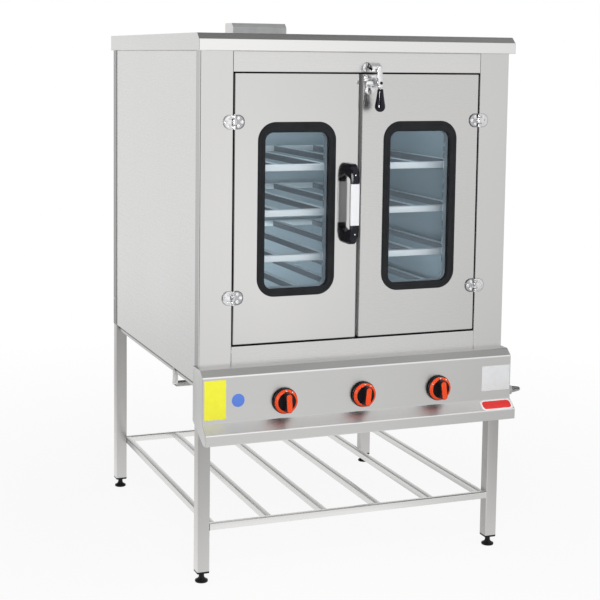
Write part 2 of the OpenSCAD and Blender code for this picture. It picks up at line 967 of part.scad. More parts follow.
// A shallow channel hung from the cabinet by a plate at each end, outside the side rails.
module under_tray() {
    y0 = front_y + tray_y;
    y1 = y0 + tray_d;
    z = deck_z - tray_drop;
    outer = half_w - 2;
    inner = outer - hanger_w;
    half = inner + 4;
    rail_x = leg_x + rail_t / 2 + 0.3;
    color("silver") {
        along_x(-half, half) bent_sheet([
            [y0, z + tray_lip], [y0, z], [y1, z], [y1, z + tray_lip]
        ]);
        both_sides() {
            block([inner, y0 - sheet, z + tray_lip - 4], [outer, y0 + sheet / 2, deck_z - rail_t - 0.3]);
            block([rail_x, y0 - sheet, z + tray_lip - 4], [outer, y0 + sheet / 2, deck_z]);
        }
    }
}

// The oval outline of one hinge, seen from the front, with its pin at the origin.
module hinge_outline() {
    round_rect(2 * hinge_reach, hinge_h, hinge_r);
}

module hinge_barrel(z0, z1) {
    along_z(z0, z1) {
        circle(r = barrel_r);
        square([leaf_start + 1, barrel_r + 1]);
    }
}

// Half a hinge on the +X side of its pin, at one height.
module door_leaf() {
    y1 = barrel_r + 1;
    low = -hinge_h / 2 + knuckle_h + end_play;
    difference() {
        union() {
            intersection() {
                along_y(y1 - hinge_t, y1) hinge_outline();
                block([leaf_start, 0, -hinge_h], [hinge_reach, y1, hinge_h]);
            }
            hinge_barrel(low, -low);
        }
        translate([0, 0, -hinge_h]) cylinder(h = 2 * hinge_h, r = hinge_pin_r + run_fit);
    }
}

module frame_leaf() {
    y1 = barrel_r + 1;
    end = hinge_h / 2;
    intersection() {
        along_y(y1 - hinge_t, y1) hinge_outline();
        block([-hinge_reach, 0, -hinge_h], [-leaf_start, y1, hinge_h]);
    }
    mirror([1, 0, 0]) {
        hinge_barrel(-end, -end + knuckle_h);
        hinge_barrel(end - knuckle_h, end);
    }
    translate([0, 0, -end]) cylinder(h = hinge_h, r = hinge_pin_r);
}

module at_left_hinges() {
    for (z = hinge_zs) translate([-hinge_x, hinge_y, z]) children();
}

module hinge_frame_leaves() {
    color("lightgray") both_sides() at_left_hinges() frame_leaf();
}

module left_hinge_leaves() {
    color("lightgray") at_left_hinges() door_leaf();
}

module right_hinge_leaves() {
    mirror([1, 0, 0]) left_hinge_leaves();
}

module door_gasket() {
    outer = half_open - 0.3;
    inner = half_open - stop_lip;
    y1 = front_y + jamb_d;
    color("dimgray") difference() {
        block([-outer, y1 - stop_gasket, sill_z + 0.3], [outer, y1, head_z - 0.3]);
        block([-inner, y1 - 10, sill_z + stop_lip], [inner, y1 + cut, head_z - stop_lip]);
    }
}

// Places an outline round the middle of the left door's window.
module at_window(y0, y1) {
    translate([door_mid_x, 0, window_z]) along_y(y0, y1) children();
}

module throat_outline(room) {
    round_rect(glass_w + 2 * (throat + room), glass_h + 2 * (throat + room), glass_r + throat + room);
}

module clear_outline() {
    round_rect(glass_w, glass_h, glass_r);
}

module left_door_skin() {
    right = door_left + door_w;
    top = door_z + door_h;
    color("gainsboro") difference() {
        block([door_left, front_y, door_z], [right, liner_front, top]);
        block(
            [door_left + sheet, front_y + sheet, door_z + sheet],
            [right - sheet, liner_front + cut, top - sheet]
        );
        at_window(front_y - cut, front_y + sheet + cut) throat_outline(0);
    }
}

module left_door_liner() {
    right = door_left + door_w;
    tunnel_y = pane_y + pane_t;
    color("silver") difference() {
        union() {
            block([door_left, liner_front, door_z], [right, door_back, door_z + door_h]);
            at_window(tunnel_y, door_back) round_rect(glass_w + 5, glass_h + 5, glass_r + 2.5);
        }
        at_window(tunnel_y - cut, door_back + cut) clear_outline();
    }
}

module left_door_insulation() {
    gap = sheet + 0.3;
    color("khaki") difference() {
        block(
            [door_left + gap, front_y + gap, door_z + gap],
            [door_left + door_w - gap, liner_front - 0.3, door_z + door_h - gap]
        );
        at_window(front_y, door_back) throat_outline(0.5);
    }
}

module left_door_glass() {
    edge = throat - bead;
    color("lightblue", 0.4) {
        at_window(pane_y, pane_y + pane_t) {
            round_rect(glass_w + 2 * edge, glass_h + 2 * edge, glass_r + edge);
        }
        at_window(inner_pane_y, inner_pane_y + pane_t) {
            round_rect(glass_w - 2 * weld_gap, glass_h - 2 * weld_gap, glass_r - weld_gap);
        }
    }
}

module left_window_gasket() {
    edge = throat - bead;
    color("black") difference() {
        union() {
            at_window(front_y - gasket_proud, front_y) {
                translate([0, (gasket_top - gasket_foot) / 2]) {
                    round_rect(glass_w + 2 * gasket_side, glass_h + gasket_top + gasket_foot, gasket_r);
                }
            }
            at_window(front_y - 0.5, pane_y + pane_t) throat_outline(0);
        }
        at_window(front_y - gasket_proud - cut, pane_y + pane_t + cut) clear_outline();
        at_window(pane_y, pane_y + pane_t + cut) {
            round_rect(glass_w + 2 * edge, glass_h + 2 * edge, glass_r + edge);
        }
    }
}

module centre_seal() {
    x = -centre_gap / 2;
    color("black") block(
        [x, front_y + door_t * 0.25, door_z + 10],
        [x + seal_w, front_y + door_t * 0.75, door_z + door_h - 10]
    );
}

// One elbow of the door handle: its foot lies on the door over the grip's end.
module handle_elbow() {
    top = grip_l / 2 + bracket_l;
    inner = grip_y + grip_t / 2 + 1;
    outer = grip_y - grip_t / 2 - 1;
    end = grip_l / 2;
    along_x(handle_x - grip_w / 2 + 1, handle_x + grip_w / 2 - 1) polygon([
        [front_y, top], [front_y, top - bracket_foot], [inner, end + 10], [inner, end],
        [outer, end], [outer, end + 24], [outer + 12, top - 8], [outer + 22, top]
    ]);
}

module handle_brackets() {
    color("black") translate([0, 0, handle_z]) {
        handle_elbow();
        mirror([0, 0, 1]) handle_elbow();
    }
}

module handle_grip() {
    color("silver") translate([handle_x, grip_y, handle_z]) along_z(-grip_l / 2, grip_l / 2) {
        round_rect(grip_w, grip_t, 3);
    }
}

module right_door_skin() {
    mirror([1, 0, 0]) left_door_skin();
}

module right_door_liner() {
    mirror([1, 0, 0]) left_door_liner();
}

module right_door_insulation() {
    mirror([1, 0, 0]) left_door_insulation();
}

module right_door_glass() {
    mirror([1, 0, 0]) left_door_glass();
}

module right_window_gasket() {
    mirror([1, 0, 0]) left_window_gasket();
}

module latch_base() {
    left = centre_gap / 2 + 3;
    color("lightgray") difference() {
        union() {
            translate([left + latch_base_w / 2, 0, head_z - head_gap - 1 - latch_base_h / 2]) {
                along_y(front_y - latch_base_t, front_y) round_rect(latch_base_w, latch_base_h, 12);
            }
            rod_y(latch_x, latch_z, collar_y, front_y - latch_base_t + 1, collar_r);
        }
        rod_y(latch_x, latch_z, collar_y - cut, front_y - 1, spindle_r + run_fit);
    }
}

module latch_lever() {
    y1 = lever_y + lever_t / 2;
    y0 = lever_y - lever_t / 2;
    color("lightgray") translate([latch_x, 0, latch_z]) {
        rod_y(0, 0, y1 - 1, front_y - 2, spindle_r);
        translate([0, lever_y, -lever_down - tang_l]) cylinder(h = tang_l + lever_w / 2, r = tang_r);
        along_y(y0, y1) {
            translate([0, (lever_up - lever_down) / 2]) {
                round_rect(lever_w, lever_up + lever_down, lever_w / 2 - 0.5);
            }
        }
        along_y(tongue_y, tongue_y + tongue_t) {
            circle(r = spindle_r + 3);
            translate([-tongue_l, -tongue_w / 2]) square([tongue_l, tongue_w]);
        }
    }
}

module latch_grip() {
    ball = latch_grip_end_r;
    neck_r = latch_grip_top_r;
    low = -latch_grip_l + ball;
    color("black") translate([latch_x, lever_y, latch_z - lever_down]) difference() {
        rotate_extrude() polygon(concat(
            [[0, 0], [neck_r - 1.5, 0], [neck_r, -2]],
            [for (a = [10:-10:-90]) [ball * cos(a), low + ball * sin(a)]]
        ));
        translate([0, 0, -tang_l - weld_gap]) cylinder(h = tang_l + weld_gap + cut, r = tang_r + weld_gap);
    }
}

module latch_keeper() {
    x0 = keeper_x - keeper_w / 2;
    x1 = keeper_x + keeper_w / 2;
    top = keeper_z + keeper_h;
    color("lightgray") {
        along_x(x0, x1) polygon([
            [front_y, keeper_z], [front_y, top], [front_y - keeper_t, top],
            [keeper_lip_y, keeper_roof_z + keeper_t], [keeper_lip_y, keeper_z],
            [keeper_lip_y + keeper_t, keeper_z], [keeper_lip_y + keeper_t, keeper_roof_z],
            [front_y - keeper_t, keeper_roof_z], [front_y - keeper_t, keeper_z]
        ]);
        translate([keeper_x, 0, keeper_z + keeper_plate_h / 2]) {
            along_y(front_y - keeper_plate_t, front_y) {
                round_rect(keeper_plate_w, keeper_plate_h, keeper_plate_h * 0.45);
            }
        }
    }
}

legs();
leg_plugs();
stand_top_rails();
undershelf_rails();
undershelf_slats();
left_side_panel();
right_side_panel();
rear_panel();
base_panel();
top_cover();
front_posts();
front_top_rail();
front_bottom_rail();
chamber_panels();
chamber_floor();
insulation();
rack_runners();
rack_1();
rack_2();
rack_3();
rack_4();
burners();
gas_manifold();
gas_inlet();
tap_bodies();
control_panel();
under_tray();
flue_cowl();
flue_duct();
hinge_frame_leaves();
latch_keeper();
door_gasket();
left_door_skin();
left_door_liner();
left_door_insulation();
left_door_glass();
left_window_gasket();
left_hinge_leaves();
handle_brackets();
handle_grip();
centre_seal();
right_door_skin();
right_door_liner();
right_door_insulation();
right_door_glass();
right_window_gasket();
right_hinge_leaves();
latch_base();
latch_lever();
latch_grip();
tap_plunger_left();
tap_plunger_middle();
tap_plunger_right();
knob_left();
knob_middle();
knob_right();
foot_front_left();
foot_front_right();
foot_rear_left();
foot_rear_right();
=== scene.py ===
# %% [markdown]
# # A gas pastry oven on an open stand
# The oven is a cabinet folded from thin stainless sheet, with two glazed doors, a gas panel under them and
# a welded stand of square tube. The CAD model has every piece in its place. This lesson dresses it: it
# swaps the plain solids that show for surfaces with real bends, rims and screws, and gives everything its
# finish. All lengths in this script are in millimetres, as on the CAD drawing, and become metres when a
# mesh is made.

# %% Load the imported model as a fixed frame
import json
import math

import bpy
import numpy as np
from mathutils import Matrix, Vector


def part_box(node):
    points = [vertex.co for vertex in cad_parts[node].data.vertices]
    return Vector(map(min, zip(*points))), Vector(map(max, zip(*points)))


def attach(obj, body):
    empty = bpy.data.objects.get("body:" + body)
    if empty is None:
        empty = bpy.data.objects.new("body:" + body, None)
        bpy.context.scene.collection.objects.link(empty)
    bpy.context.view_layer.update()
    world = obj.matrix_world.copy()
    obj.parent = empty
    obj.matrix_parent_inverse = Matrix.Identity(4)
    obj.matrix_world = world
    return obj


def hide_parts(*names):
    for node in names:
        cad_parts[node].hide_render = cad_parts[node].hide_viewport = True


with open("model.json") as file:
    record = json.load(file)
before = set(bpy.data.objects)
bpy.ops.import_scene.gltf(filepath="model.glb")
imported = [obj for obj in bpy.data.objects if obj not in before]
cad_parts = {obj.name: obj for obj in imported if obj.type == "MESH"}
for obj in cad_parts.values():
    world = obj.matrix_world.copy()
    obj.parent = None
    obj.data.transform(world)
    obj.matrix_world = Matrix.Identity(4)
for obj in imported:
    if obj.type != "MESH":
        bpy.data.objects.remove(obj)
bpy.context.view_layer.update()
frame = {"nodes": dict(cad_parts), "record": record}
nodes = frame["nodes"]
MM = 0.001


def node_box(name):
    """Lowest and highest corner of a CAD node, in millimetres."""
    low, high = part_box(name)
    return np.array(low) / MM, np.array(high) / MM


# %% [markdown]
# ## Shapes as rings of points
# Almost every piece here is a row of closed outlines, one after another, with a skin over them: a tube is
# four rounded squares, a door is a dozen rectangles that grow and shrink, a knob is a stack of circles. So
# one function skins rings, and the others only say where the rings are. Subdivision surfaces could round
# the same forms, but sheet metal needs flat faces with tight bends, which rings give exactly.

# %% The skin over a row of rings of points
ACROSS = {"x": (1, 2, 0), "y": (0, 2, 1), "z": (0, 1, 2)}


def place(u, v, w, along):
    """Points with w along the named axis and with u and v along the other two, in the order x, y, z."""
    out = np.empty(np.broadcast(u, v, w).shape + (3,))
    for axis, values in zip(ACROSS[along], (u, v, w)):
        out[..., axis] = values
    return out


def skin(rings, wrap=False, finish=0):
    """Quads between each ring and the next, from an array (rings, points round, 3).
    With wrap the last ring joins the first, otherwise a flat face closes each end. The sum of the
    faces' signed tetrahedra says whether they face outwards, and if it is negative all are turned."""
    count, around = rings.shape[:2]
    points = rings.reshape(-1, 3)
    ids = np.arange(count * around).reshape(count, around)
    a = ids if wrap else ids[:-1]
    b = np.roll(ids, -1, 0)[: len(a)]
    quads = np.stack([a, np.roll(a, -1, 1), np.roll(b, -1, 1), b], -1).reshape(-1, 4)
    caps = [] if wrap else [ids[0][::-1], ids[-1]]
    volume = 0.0
    for face in [quads] + [c[None] for c in caps]:
        corner = points[face]
        for i in range(1, face.shape[1] - 1):
            cross = np.cross(corner[:, i], corner[:, i + 1])
            volume += (corner[:, 0] * cross).sum()
    if volume < 0:
        quads, caps = quads[:, ::-1], [c[::-1] for c in caps]
    return points, quads, caps, finish


# %% Moving, mirroring and repainting a surface
def moved(part, x=0.0, y=0.0, z=0.0):
    """The same surface, shifted."""
    return (part[0] + np.array([x, y, z]),) + part[1:]


def mirrored(part):
    """The surface's mirror image in the middle plane, with its faces turned so that they look outwards."""
    points, quads, caps, finish = part
    return points * [-1, 1, 1], quads[:, ::-1], [c[::-1] for c in caps], finish


def both(part):
    """A surface and its mirror image."""
    return [part, mirrored(part)]


def repainted(part, finish, **limits):
    """The same surface, with another finish on each quad whose middle lies between the limits given for x, y
    or z."""
    points, quads, caps, old = part
    middle = points[quads].mean(1)
    inside = np.ones(len(quads), bool)
    for axis, (low, high) in limits.items():
        value = middle[:, "xyz".index(axis)]
        inside &= (value >= low) & (value <= high)
    return points, quads, caps, np.where(inside, finish, old)


# %% Folded lines and outlines
def folded_line(corners, radius, closed=False, steps=5, hold=0.7):
    """A line with its corners bent to arcs: an arc starts radius * tan(turn / 2) before its corner and turns
    the unit normal evenly. One point on the flat at each side of the arc keeps the flat's shading flat.
    Returns the points and the unit normals to the left of the line's way."""
    p = np.asarray(corners, float)
    before, mid, after = (np.roll(p, 1, 0), p, np.roll(p, -1, 0)) if closed else (p[:-2], p[1:-1], p[2:])
    came, goes = mid - before, after - mid
    came = came / np.linalg.norm(came, axis=1, keepdims=True)
    goes = goes / np.linalg.norm(goes, axis=1, keepdims=True)
    turn = np.arctan2(came[:, 0] * goes[:, 1] - came[:, 1] * goes[:, 0], (came * goes).sum(1))
    r = np.broadcast_to(np.asarray(radius, float), turn.shape)
    left = np.stack([-came[:, 1], came[:, 0]], 1)
    signed = (np.sign(turn) * r)[:, None]
    centre = mid - came * (r * np.tan(np.abs(turn) / 2))[:, None] + left * signed
    angle = turn[:, None] * np.linspace(0, 1, steps + 1)
    c, s = np.cos(angle)[..., None], np.sin(angle)[..., None]
    normal = c * left[:, None] + s * np.stack([-left[:, 1], left[:, 0]], 1)[:, None]
    arc = centre[:, None] - signed[:, None] * normal
    arc = np.concatenate([arc[:, :1] - came[:, None] * hold, arc, arc[:, -1:] + goes[:, None] * hold], 1)
    normal = np.concatenate([normal[:, :1], normal, normal[:, -1:]], 1)
    arc, normal = arc.reshape(-1, 2), normal.reshape(-1, 2)
    if closed:
        return arc, normal
    return np.vstack([p[:1], arc, p[-1:]]), np.vstack([normal[:1], normal, normal[-1:]])


def outline(corners, radius, steps=3, hold=0.3):
    """A closed outline with round corners, and its outward normals."""
    p = np.asarray(corners, float)
    ahead = np.roll(p, -1, 0)
    area = (p[:, 0] * ahead[:, 1] - ahead[:, 0] * p[:, 1]).sum()
    points, left = folded_line(p, radius, True, steps, hold)
    return points, -left if area > 0 else left


# %% Rows of rounded rectangles, and circles
def rounded_rects(width, height, radius, n=5):
    """Rectangles with round corners, one for each entry of the arrays: the centre of each corner plus radius
    times (cos t, sin t), with t running through that corner's quarter turn in n steps."""
    width, height, radius = (np.asarray(v, float)[..., None, None, None] for v in (width, height, radius))
    t = np.radians(np.linspace(0, 90, n + 1) + np.array([[0], [90], [180], [270]]))
    normal = np.stack([np.cos(t), np.sin(t)], -1)
    signs = np.array([[1, 1], [-1, 1], [-1, -1], [1, -1]])[:, None]
    half = np.concatenate([width / 2 - radius, height / 2 - radius], -1)
    points = signs * half + radius * normal
    flat = points.shape[:-3] + (-1, 2)
    return points.reshape(flat), np.broadcast_to(normal, points.shape).reshape(flat)


def round_outline(radius, n=40):
    """A circle and its outward normals."""
    t = np.linspace(0, 2 * np.pi, n, endpoint=False)
    normal = np.stack([np.cos(t), np.sin(t)], -1)
    return radius * normal, normal


# %% Folded sheet and flat plates
# The sheet's thickness, and the widths of the small tubes and of the legs.
SHEET, TUBE, LEG = 1.2, 20.0, 38.0


def sheet_metal(corners, along, a, b, radius=2.4):
    """A folded sheet: a folded line and its copy one thickness to the left, both drawn from a to b along an
    axis. Each point of the line gives a ring of four, and the rings are skinned."""
    line, left = folded_line(corners, radius)
    inner = line + SHEET * left
    sides = [(line, a), (line, b), (inner, b), (inner, a)]
    rings = np.stack([place(p[:, 0], p[:, 1], w, along) for p, w in sides], 1)
    return skin(rings)


def plate(shape, along, a, b, edge=0.5, finish=0):
    """A flat piece from a to b along an axis. Its outline is drawn in by edge * (1 - sin t) while it moves
    edge * (1 - cos t) off each face, for t from 0 to 90 degrees, which rounds both rims."""
    points, out = shape
    t = np.radians(np.linspace(0, 90, 4))
    inset = edge * (1 - np.sin(t))
    depth = edge * (1 - np.cos(t)) * np.sign(b - a)
    inset = np.concatenate([inset, inset[::-1]])
    where = np.concatenate([a + depth, b - depth[::-1]])
    flat = points - inset[:, None, None] * out
    return skin(place(flat[..., 0], flat[..., 1], where[:, None], along), finish=finish)


# %% Pieces from rows of rectangles or circles
def framed(rows, along, centre=(0.0, 0.0), wrap=True, n=5, finish=0):
    """Rounded rectangles, one for each row of width, height, corner radius, place along the axis and, where
    it isn't in line with the others, its shift across the axis."""
    rows = np.array([tuple(row) + (0.0,) * (5 - len(row)) for row in rows], float)
    points, _ = rounded_rects(rows[:, 0], rows[:, 1], rows[:, 2], n)
    u, v = points[..., 0] + centre[0], points[..., 1] + centre[1] + rows[:, 4:]
    return skin(place(u, v, rows[:, 3:4], along), wrap, finish)


def turned(rows, along, centre=(0.0, 0.0), wrap=False, n=48, finish=0):
    """A turned piece: each row of radius and place along the axis is a circle round the centre."""
    rows = np.array(rows, float)
    circle, _ = round_outline(1.0, n)
    points = rows[:, :1, None] * circle
    u, v = points[..., 0] + centre[0], points[..., 1] + centre[1]
    return skin(place(u, v, rows[:, 1:], along), wrap, finish)


def from_base(rows, base, way=1):
    """Rows whose last number, the place along the axis, is counted from a base, forwards or backwards."""
    return [tuple(row[:-1]) + (base + way * row[-1],) for row in rows]


def square_tube(along, centre, a, b, size=TUBE, wall=SHEET, radius=2.2):
    """An open tube: the outer outline at both ends, then the inner one back again, as one closed ring."""
    inner = (size - 2 * wall, size - 2 * wall, max(radius - wall, 0.4))
    rows = [(size, size, radius, a), (size, size, radius, b), inner + (b,), inner + (a,)]
    return framed(rows, along, centre, n=4)


# %% Screw heads
def screw_head(x, z, y, radius=3.8, height=1.8, finish=0):
    """A domed screw head with a cross recess, facing the front. Ring after ring the outline goes from a
    circle to a plus sign, whose radius at angle t is the arm's half width over the smaller of |sin t| and
    |cos t|, held between one and a half of that width and the arm's length. The last rings sink it."""
    n = 32
    t = np.linspace(0, 2 * np.pi, n, endpoint=False) + np.pi / n
    arm, half = 0.58 * radius, 0.13 * radius
    narrow = np.minimum(np.abs(np.sin(t)), np.abs(np.cos(t)))
    plus = np.clip(half / narrow, half * 1.5, arm)
    rows = [(1, 0, 0), (1, 0.3, 0), (0.93, 0.62, 0), (0.8, 0.85, 0), (0.66, 1, 0), (0, 1, 1), (0, 0.35, 0.9)]
    rows = np.array(rows)
    r = rows[:, :1] * radius + rows[:, 2:] * plus
    w = y - height * rows[:, 1:2] + 0 * t
    return skin(place(x + r * np.cos(t), z + r * np.sin(t), w, "y"), finish=finish)


# %% From surfaces to a Blender object
def make(name, parts, body, finishes, replaces=(), edge=0.0):
    """Joins surfaces into one mesh object in metres, at the origin, and lets it ride on a CAD body.
    Quads are shaded smooth, with sharp edges from 32 degrees on, and end faces flat. An edge width adds a
    Bevel modifier that rounds the cut edges of sheet."""
    points, faces, index, smooth, base = [], [], [], [], 0
    for p, quads, caps, finish in parts:
        points.append(p)
        faces += (quads + base).tolist() + [(c + base).tolist() for c in caps]
        index += np.broadcast_to(finish, len(quads)).tolist() + [int(np.min(finish))] * len(caps)
        smooth += [True] * len(quads) + [False] * len(caps)
        base += len(p)
    mesh = bpy.data.meshes.new(name)
    mesh.from_pydata((np.vstack(points) * MM).tolist(), [], faces)
    for finish in finishes:
        mesh.materials.append(finish)
    mesh.polygons.foreach_set("material_index", index)
    mesh.polygons.foreach_set("use_smooth", smooth)
    mesh.set_sharp_from_angle(angle=math.radians(32))
    mesh.update()
    piece = bpy.data.objects.new(name, mesh)
    bpy.context.scene.collection.objects.link(piece)
    if edge:
        bevel = piece.modifiers.new("cut edges", "BEVEL")
        bevel.width = edge * MM
        bevel.segments = 2
        bevel.limit_method = "ANGLE"
        bevel.angle_limit = math.radians(50)
        bevel.harden_normals = True
    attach(piece, body)
    if replaces:
        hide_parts(*replaces)
    print(f"{name}: {len(parts)} surfaces, {len(faces)} faces")
    return piece


# %% [markdown]
# ## Finishes
# Stainless sheet is a mirror that a belt of grit has scratched all one way. The scratches blur what it
# reflects, mostly across their direction, and let broad patches look a little lighter or darker. Here a
# noise that is stretched a few hundred times along the grain makes the scratches, in the roughness and a
# very low bump, and a second, wide noise makes the sheet's soft unevenness, in the colour and a gentle
# bump. Both read Object coordinates, so the grain stays in place on every piece. An image of brushed metal
# would do too, but a noise has no seams.

# %% A new material
def new_finish(name, color, metallic=0.0, roughness=0.5, **sockets):
    """A Principled material; sockets are named with underscores for spaces."""
    mat = bpy.data.materials.new(name)
    mat.use_nodes = True
    shader = mat.node_tree.nodes["Principled BSDF"]
    shader.inputs["Base Color"].default_value = (*color, 1)
    shader.inputs["Metallic"].default_value = metallic
    shader.inputs["Roughness"].default_value = roughness
    for key, value in sockets.items():
        shader.inputs[key.replace("_", " ")].default_value = value
    mat.diffuse_color = (*color, 1)
    return mat


# %% A stretched noise
def noise(mat, stretch, detail=2.0, rough=0.5):
    """A noise of Object coordinates, each multiplied by its own number: it runs long where that is small."""
    tree = mat.node_tree
    where = tree.nodes.new("ShaderNodeTexCoord")
    mapping = tree.nodes.new("ShaderNodeMapping")
    mapping.inputs["Scale"].default_value = stretch
    grain = tree.nodes.new("ShaderNodeTexNoise")
    grain.inputs["Scale"].default_value = 1.0
    grain.inputs["Detail"].default_value = detail
    grain.inputs["Roughness"].default_value = rough
    tree.links.new(where.outputs["Object"], mapping.inputs["Vector"])
    tree.links.new(mapping.outputs["Vector"], grain.inputs["Vector"])
    return grain.outputs["Fac"]


# %% Patterns that drive a value, a colour or a bump
def graded(tree, source, low, high, at_low, at_high):
    """A value that runs evenly from at_low to at_high while its source runs from low to high."""
    node = tree.nodes.new("ShaderNodeMapRange")
    for key, value in zip(("From Min", "From Max", "To Min", "To Max"), (low, high, at_low, at_high)):
        node.inputs[key].default_value = value
    tree.links.new(source, node.inputs["Value"])
    return node.outputs["Result"]


DARK, LIGHT = 0.3, 0.7


def vary_value(mat, socket, source, low, high):
    """Drives one value of the shader by a pattern, from low in its dark parts to high in its light ones."""
    tree = mat.node_tree
    value = graded(tree, source, DARK, LIGHT, low, high)
    tree.links.new(value, tree.nodes["Principled BSDF"].inputs[socket])


def vary_color(mat, source, first, second):
    """Drives the colour by a pattern, from the first colour to the second."""
    tree = mat.node_tree
    ramp = tree.nodes.new("ShaderNodeValToRGB")
    for element, where, color in zip(ramp.color_ramp.elements, (DARK, LIGHT), (first, second)):
        element.position = where
        element.color = (*color, 1)
    tree.links.new(source, ramp.inputs["Fac"])
    tree.links.new(ramp.outputs["Color"], tree.nodes["Principled BSDF"].inputs["Base Color"])


def emboss(mat, source, depth):
    """Adds a bump of that depth in metres on top of the bumps that are there."""
    tree = mat.node_tree
    shader = tree.nodes["Principled BSDF"]
    bump = tree.nodes.new("ShaderNodeBump")
    bump.inputs["Strength"].default_value = 1.0
    bump.inputs["Distance"].default_value = depth
    tree.links.new(source, bump.inputs["Height"])
    if shader.inputs["Normal"].links:
        tree.links.new(shader.inputs["Normal"].links[0].from_socket, bump.inputs["Normal"])
    tree.links.new(bump.outputs["Normal"], shader.inputs["Normal"])


# %% Brushed stainless sheet, with its grain along x, y or z
GRAIN = {"x": (4, 700, 700), "y": (700, 4, 700), "z": (700, 700, 4), "level": (4, 4, 900)}


def brushed(name, grain, tone, tint=(1.0, 0.995, 0.985), rough=0.27, fade=None, metallic=1.0):
    """Brushed steel: tone is how much light it returns. A metallic below 1 lets part of the sheet scatter
    light as paint does. A fade of two heights in metres and two factors lets the tone drift from one factor
    at the lower height to the other at the upper one: painted light and shade that change with height."""
    color = tuple(tone * t for t in tint)
    mat = new_finish(name, color, metallic=metallic, roughness=rough)
    scratches = noise(mat, GRAIN[grain], detail=3.0, rough=0.6)
    clouds = noise(mat, (2.2, 2.2, 1.6), detail=1.5)
    vary_color(mat, clouds, tuple(0.985 * c for c in color), tuple(min(1.015 * c, 1) for c in color))
    vary_value(mat, "Roughness", scratches, rough - 0.02, rough + 0.025)
    emboss(mat, clouds, 0.0008)
    emboss(mat, scratches, 0.0000012)
    if fade:
        tree = mat.node_tree
        shader = tree.nodes["Principled BSDF"]
        where = tree.nodes.new("ShaderNodeTexCoord")
        split = tree.nodes.new("ShaderNodeSeparateXYZ")
        scaled = tree.nodes.new("ShaderNodeVectorMath")
        scaled.operation = "SCALE"
        tree.links.new(where.outputs["Object"], split.inputs["Vector"])
        tree.links.new(shader.inputs["Base Color"].links[0].from_socket, scaled.inputs[0])
        tree.links.new(graded(tree, split.outputs["Z"], *fade), scaled.inputs["Scale"])
        tree.links.new(scaled.outputs["Vector"], shader.inputs["Base Color"])
    return mat


steel_level = brushed("steel_level_grain", "level", 0.66)
steel_head = brushed("steel_head", "level", 0.80)
steel_sill = brushed("steel_sill", "level", 0.75)
steel_door = brushed("steel_door", "level", 0.70, rough=0.11)
steel_door_right = brushed("steel_door_right", "level", 0.71, rough=0.26)
# Painted shade: the right door's left edge takes this darker, less metallic steel, which stands in for its
# reflection of the dark gap between the doors.
steel_gap_painted_shade = brushed("steel_gap_painted_shade", "z", 0.5, (1.02, 1.0, 0.97), 0.35, metallic=0.3)
steel_panel = brushed("steel_panel", "level", 0.70, rough=0.32)
# Lit and shaded copies of the gas panel's one sheet: the ledge is painted lighter, the sloping band and the
# end plates darker.
steel_ledge_painted_light = brushed("steel_ledge_painted_light", "level", 0.84, rough=0.42)
steel_chamfer_painted_shade = brushed("steel_chamfer_painted_shade", "level", 0.5, rough=0.3)
steel_cheek_painted_shade = brushed("steel_cheek_painted_shade", "level", 0.62, rough=0.3)
steel_upright = brushed("steel_upright_grain", "z", 0.74, rough=0.2)
# A lit copy of the sheet, painted light: the cover takes it, and so do the painted highlights along two folds
# of the gas panel and on the tops of the shelf tubes.
steel_cover_painted_light = brushed("steel_cover_painted_light", "level", 0.94, rough=0.2)
# Painted shade: the posts' side returns take a darker copy of their steel, which grows darker still towards
# the bottom.
CABINET_PAINTED_SHADE_HEIGHTS = (0.594, 1.563)
steel_return_painted_shade = brushed("steel_return_painted_shade", "z", 0.52, fade=CABINET_PAINTED_SHADE_HEIGHTS + (0.7, 0.92))
# The rear sheet is darker than the side panels, and painted shade darkens it further towards the bottom.
steel_rear_painted_shade = brushed("steel_rear_painted_shade", "z", 0.34, rough=0.34, fade=CABINET_PAINTED_SHADE_HEIGHTS + (0.72, 1.0))
# Painted shadow: the deck rails turn dark above 584 mm, where the side panels' edge overhangs them.
steel_rail_painted_shadow = brushed("steel_rail_painted_shadow", "y", 0.6, fade=(0.5825, 0.584, 1.0, 0.2))
# Painted light: the tray's hanger plates take a pale steel that isn't metallic, so that they show bright
# where real steel would mirror the dark back of the gas panel.
steel_hanger_painted_light = brushed("steel_hanger_painted_light", "z", 0.95, rough=0.5, metallic=0.0)
steel_long = brushed("steel_lengthwise_grain", "y", 0.74)
steel_cross = brushed("steel_crosswise_grain", "x", 0.84)
# Painted light and shade on the legs: lighter towards the floor, darker towards the cabinet, with darker
# copies for the right legs' inner faces and the left legs' front faces.
WARM, LEG_PAINTED_SHADE_HEIGHTS = (1.0, 0.985, 0.965), (0.03, 0.42)
steel_leg_painted_light_and_shade = brushed("steel_leg_painted_light_and_shade", "z", 0.56, WARM, 0.3, LEG_PAINTED_SHADE_HEIGHTS + (1.35, 0.95))
steel_leg_inner_painted_shade = brushed("steel_leg_inner_painted_shade", "z", 0.39, WARM, 0.3, LEG_PAINTED_SHADE_HEIGHTS + (1.45, 0.92))
steel_leg_front_painted_shade = brushed("steel_leg_front_painted_shade", "z", 0.49, (1.0, 0.99, 0.97), 0.3, LEG_PAINTED_SHADE_HEIGHTS + (1.25, 0.95))
# Painted light and shade on the racks: the front rails' front faces take a lighter copy of the steel and the
# bars' sides a darker one.
steel_rack = brushed("steel_rack", "x", 0.9, (0.98, 0.99, 1.0), 0.3, metallic=0.6)
steel_rack_front_painted_light = brushed("steel_rack_front_painted_light", "x", 1.0, (0.93, 0.975, 1.0), 0.4, metallic=0.45)
steel_rack_side_painted_shade = brushed("steel_rack_side_painted_shade", "y", 0.3, (0.96, 0.96, 1.04), 0.35, metallic=0.6)
steel_chamber = brushed("steel_chamber", "level", 0.6, (0.87, 0.97, 1.04), 0.42, metallic=0.5)
print("brushed steels for every sheet and tube")

